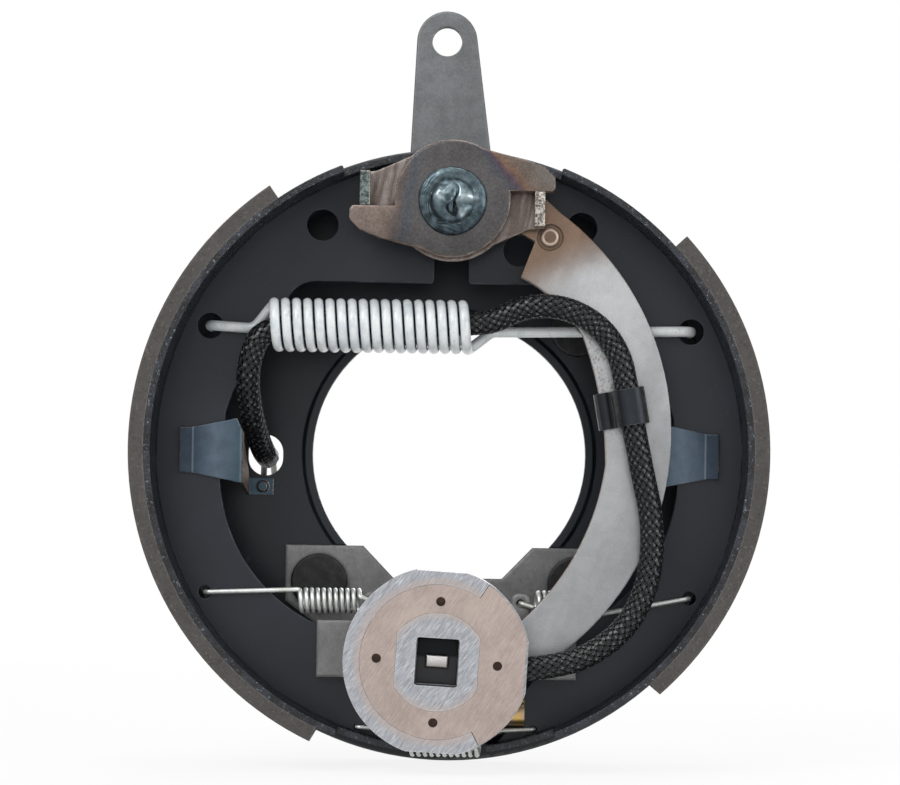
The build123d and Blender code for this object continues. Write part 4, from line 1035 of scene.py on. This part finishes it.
class BRAKE_OT_weld(bpy.types.Operator):
    """Lay the rippled weld that closes the post on the driver plate"""

    bl_idname = "brake.weld"
    bl_label = "Weld"

    def execute(self, context):
        settings = context.scene.brake_weld
        rings = 42
        spokes = 132
        inset = 0.985
        bead = bmesh.new()
        spots = [bead.verts.new((settings.skirt * index / rings, 0, 0)) for index in range(rings + 1)]
        edges = [bead.edges.new(pair) for pair in zip(spots, spots[1:])]
        bmesh.ops.spin(
            bead,
            geom=[*spots, *edges],
            cent=(0, 0, 0),
            axis=(0, 0, 1),
            angle=tau,
            steps=spokes,
            use_merge=True,
        )
        bmesh.ops.remove_doubles(bead, verts=bead.verts, dist=1e-6)
        shine = bead.verts.layers.float.new("shine")
        for vertex in bead.verts:
            high, bright = weld_form(vertex.co.x, vertex.co.y, settings)
            vertex.co.z = high
            vertex[shine] = bright
            out_of_round = 1 + 0.014 * sin(3 * atan2(vertex.co.y, vertex.co.x) + 0.6)
            vertex.co.x *= out_of_round * inset
            vertex.co.y *= out_of_round * inset
        bmesh.ops.recalc_face_normals(bead, faces=bead.faces)
        stand = Matrix.Translation(WELD_CENTRE) @ Matrix.Rotation(pi / 2, 4, "X")
        bmesh.ops.transform(bead, matrix=stand, verts=bead.verts)
        mesh = as_mesh("post_weld_bead", bead)

        base = settings.steel
        metal = Finish("Weld metal", base, metallic=0.8, roughness=0.3)
        scale = metal.noise(300, 5, 0.65)
        # The shine value paints highlights and shade on the weld; the scale noise adds its own tone.
        lit = metal.add("ShaderNodeAttribute", attribute_name="shine").outputs["Fac"]
        broken = metal.sum("ADD", lit, metal.fit(scale, 0.5, -0.25))
        shade = metal.ramp(
            broken,
            (0.05, tone(26, 33, 37)), (0.28, tone(62, 76, 82)), (0.45, base), (0.7, tone(132, 148, 153)),
            (0.95, tone(206, 214, 214)),
        )
        metal.paint(shade)
        metal.gloss(scale, 0.3, 0.14)
        metal.relief((scale, 0.1), (metal.noise(1200, 4, 0.7), 0.03))
        item = piece("post_weld_bead", mesh, (metal,), "lever")
        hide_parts("post_weld")
        return {"FINISHED"}


FLOOR_GAP = 0.2 * MM
FLOOR_SHADE = 0.13
FLOOR_NEAR = 0.3
FLOOR_FAR = 1.1
SKY_TONE = (0.93, 0.96, 1.0, 1)
SKY_STRENGTH = 0.34
LAMP_TARGET = Vector((0, -0.04, 0.02))
LAMPS = (
    ("Key lamp", (-0.75, -1.15, 1.05), 0.9, 15.0),
    ("Fill lamp", (1.15, -1.0, 0.45), 1.0, 7.0),
    ("Top lamp", (0.1, 0.1, 1.5), 1.0, 8.0),
    ("Rear lamp", (0.4, 1.3, 0.6), 1.0, 9.0),
)
MAGNET_FACE = 0.0685
EYE_RIGHT = 0.00032
EYE_UP = -0.02316
EYE_ROLL = radians(0.8)


def seen_directly(tree):
    """1 on rays from the camera, also by a mirror or through a clear body, and 0 on those that light."""
    rays = tree.nodes.new("ShaderNodeLightPath").outputs
    seen = rays["Is Camera Ray"]
    for name in ("Is Glossy Ray", "Is Transmission Ray"):
        either = tree.nodes.new("ShaderNodeMath")
        either.operation = "MAXIMUM"
        tree.links.new(seen, either.inputs[0])
        tree.links.new(rays[name], either.inputs[1])
        seen = either.outputs[0]
    return seen


class BRAKE_OT_stage(bpy.types.Operator):
    """Set the floor, the white surroundings, the soft lamps and the camera"""

    bl_idname = "brake.stage"
    bl_label = "Stage"

    def execute(self, context):
        settings = context.scene.brake_stage
        scene = context.scene
        scene.view_settings.view_transform = "Standard"

        floor_height = cad_box[0][2] - FLOOR_GAP
        sheet = bmesh.new()
        bmesh.ops.create_grid(sheet, x_segments=8, y_segments=8, size=settings.floor_span / 2)
        bmesh.ops.translate(sheet, vec=(0, 0, floor_height), verts=sheet.verts)
        mesh = as_mesh("Floor", sheet)
        paper = Finish("Floor paper", tone(238, 238, 236), roughness=0.9, specular=0.1)
        glow = paper.add("ShaderNodeEmission")
        paper.join((1.0, 1.0, 1.0), glow.inputs["Color"])
        both = paper.add("ShaderNodeMixShader")
        near = paper.mask(paper.vector("LENGTH", paper.place, (0, 0, 0)), FLOOR_FAR, FLOOR_NEAR)
        share = paper.fit(near, -FLOOR_SHADE, 1.0)
        paper.join(paper.times(seen_directly(paper.tree), share), both.inputs[0])
        paper.join(paper.shader.outputs[0], both.inputs[1])
        paper.join(glow.outputs[0], both.inputs[2])
        paper.join(both.outputs[0], paper.tree.nodes["Material Output"].inputs["Surface"])
        mesh.materials.append(paper.material)
        floor = placed("Floor", mesh)

        world = bpy.data.worlds.new("Studio")
        scene.world = world
        world.use_nodes = True
        tree = world.node_tree
        sky = tree.nodes["Background"]
        sky.inputs["Color"].default_value = SKY_TONE
        sky.inputs["Strength"].default_value = SKY_STRENGTH
        white = tree.nodes.new("ShaderNodeBackground")
        white.inputs["Color"].default_value = (1, 1, 1, 1)
        white.inputs["Strength"].default_value = 1.0
        both = tree.nodes.new("ShaderNodeMixShader")
        for output, socket in zip((seen_directly(tree), sky.outputs[0], white.outputs[0]), both.inputs):
            tree.links.new(output, socket)
        tree.links.new(both.outputs[0], tree.nodes["World Output"].inputs["Surface"])

        for name, spot, span, power in LAMPS:
            lamp = bpy.data.lights.new(name, "AREA")
            lamp.shape = "SQUARE"
            lamp.size = span
            lamp.energy = power * settings.lamps
            holder = placed(name, lamp)
            holder.location = spot
            holder.rotation_euler = (LAMP_TARGET - Vector(spot)).to_track_quat("-Z", "Y").to_euler()

        camera = bpy.data.cameras.new("Camera")
        camera.sensor_width = 36.0
        camera.lens = 117.2
        camera.shift_x = 0.0011
        camera.shift_y = 0.1317
        camera.clip_start = 0.02
        camera.dof.use_dof = False
        eye = placed("Camera", camera)
        place = Matrix.Translation((EYE_RIGHT, -MAGNET_FACE - settings.distance, EYE_UP))
        eye.matrix_world = place @ Matrix.Rotation(pi / 2, 4, "X") @ Matrix.Rotation(EYE_ROLL, 4, "Z")
        scene.camera = eye
        return {"FINISHED"}


OPERATORS = (
    BRAKE_OT_stage,
    BRAKE_OT_lead,
    BRAKE_OT_plate_finish,
    BRAKE_OT_lining_finish,
    BRAKE_OT_spring_finish,
    BRAKE_OT_steel_finish,
    BRAKE_OT_magnet_finish,
    BRAKE_OT_adjuster_finish,
    BRAKE_OT_weld,
)


class BRAKE_PT_panel(bpy.types.Panel):
    """Lists the brake's pieces in the sidebar."""

    bl_idname = "BRAKE_PT_panel"
    bl_label = "Drum brake"
    bl_space_type = "VIEW_3D"
    bl_region_type = "UI"
    bl_category = "Drum brake"

    def draw(self, context):
        for operator in OPERATORS:
            self.layout.operator(operator.bl_idname)
        for name in ("brake_finish", "brake_lead", "brake_weld", "brake_stage"):
            group = getattr(context.scene, name)
            box = self.layout.box()
            for key in group.bl_rna.properties.keys():
                if key not in {"rna_type", "name"}:
                    box.prop(group, key)


SETTINGS = {
    "brake_finish": FinishSettings,
    "brake_lead": LeadSettings,
    "brake_weld": WeldSettings,
    "brake_stage": StageSettings,
}


def register():
    """Registers the settings, the operators and the panel."""
    for kind in (*SETTINGS.values(), *OPERATORS, BRAKE_PT_panel):
        bpy.utils.register_class(kind)
    for name, kind in SETTINGS.items():
        setattr(bpy.types.Scene, name, bpy.props.PointerProperty(type=kind))


def unregister():
    """Takes them away again."""
    for name in SETTINGS:
        delattr(bpy.types.Scene, name)
    for kind in (BRAKE_PT_panel, *reversed(OPERATORS), *reversed(SETTINGS.values())):
        bpy.utils.unregister_class(kind)


def main():
    """Builds the whole scene."""
    register()
    bpy.ops.brake.stage()
    bpy.ops.brake.lead()
    bpy.ops.brake.plate_finish()
    bpy.ops.brake.lining_finish()
    bpy.ops.brake.spring_finish()
    bpy.ops.brake.steel_finish()
    bpy.ops.brake.magnet_finish()
    bpy.ops.brake.adjuster_finish()
    bpy.ops.brake.weld()
    bpy.context.view_layer.update()


if __name__ == "__main__":
    main()
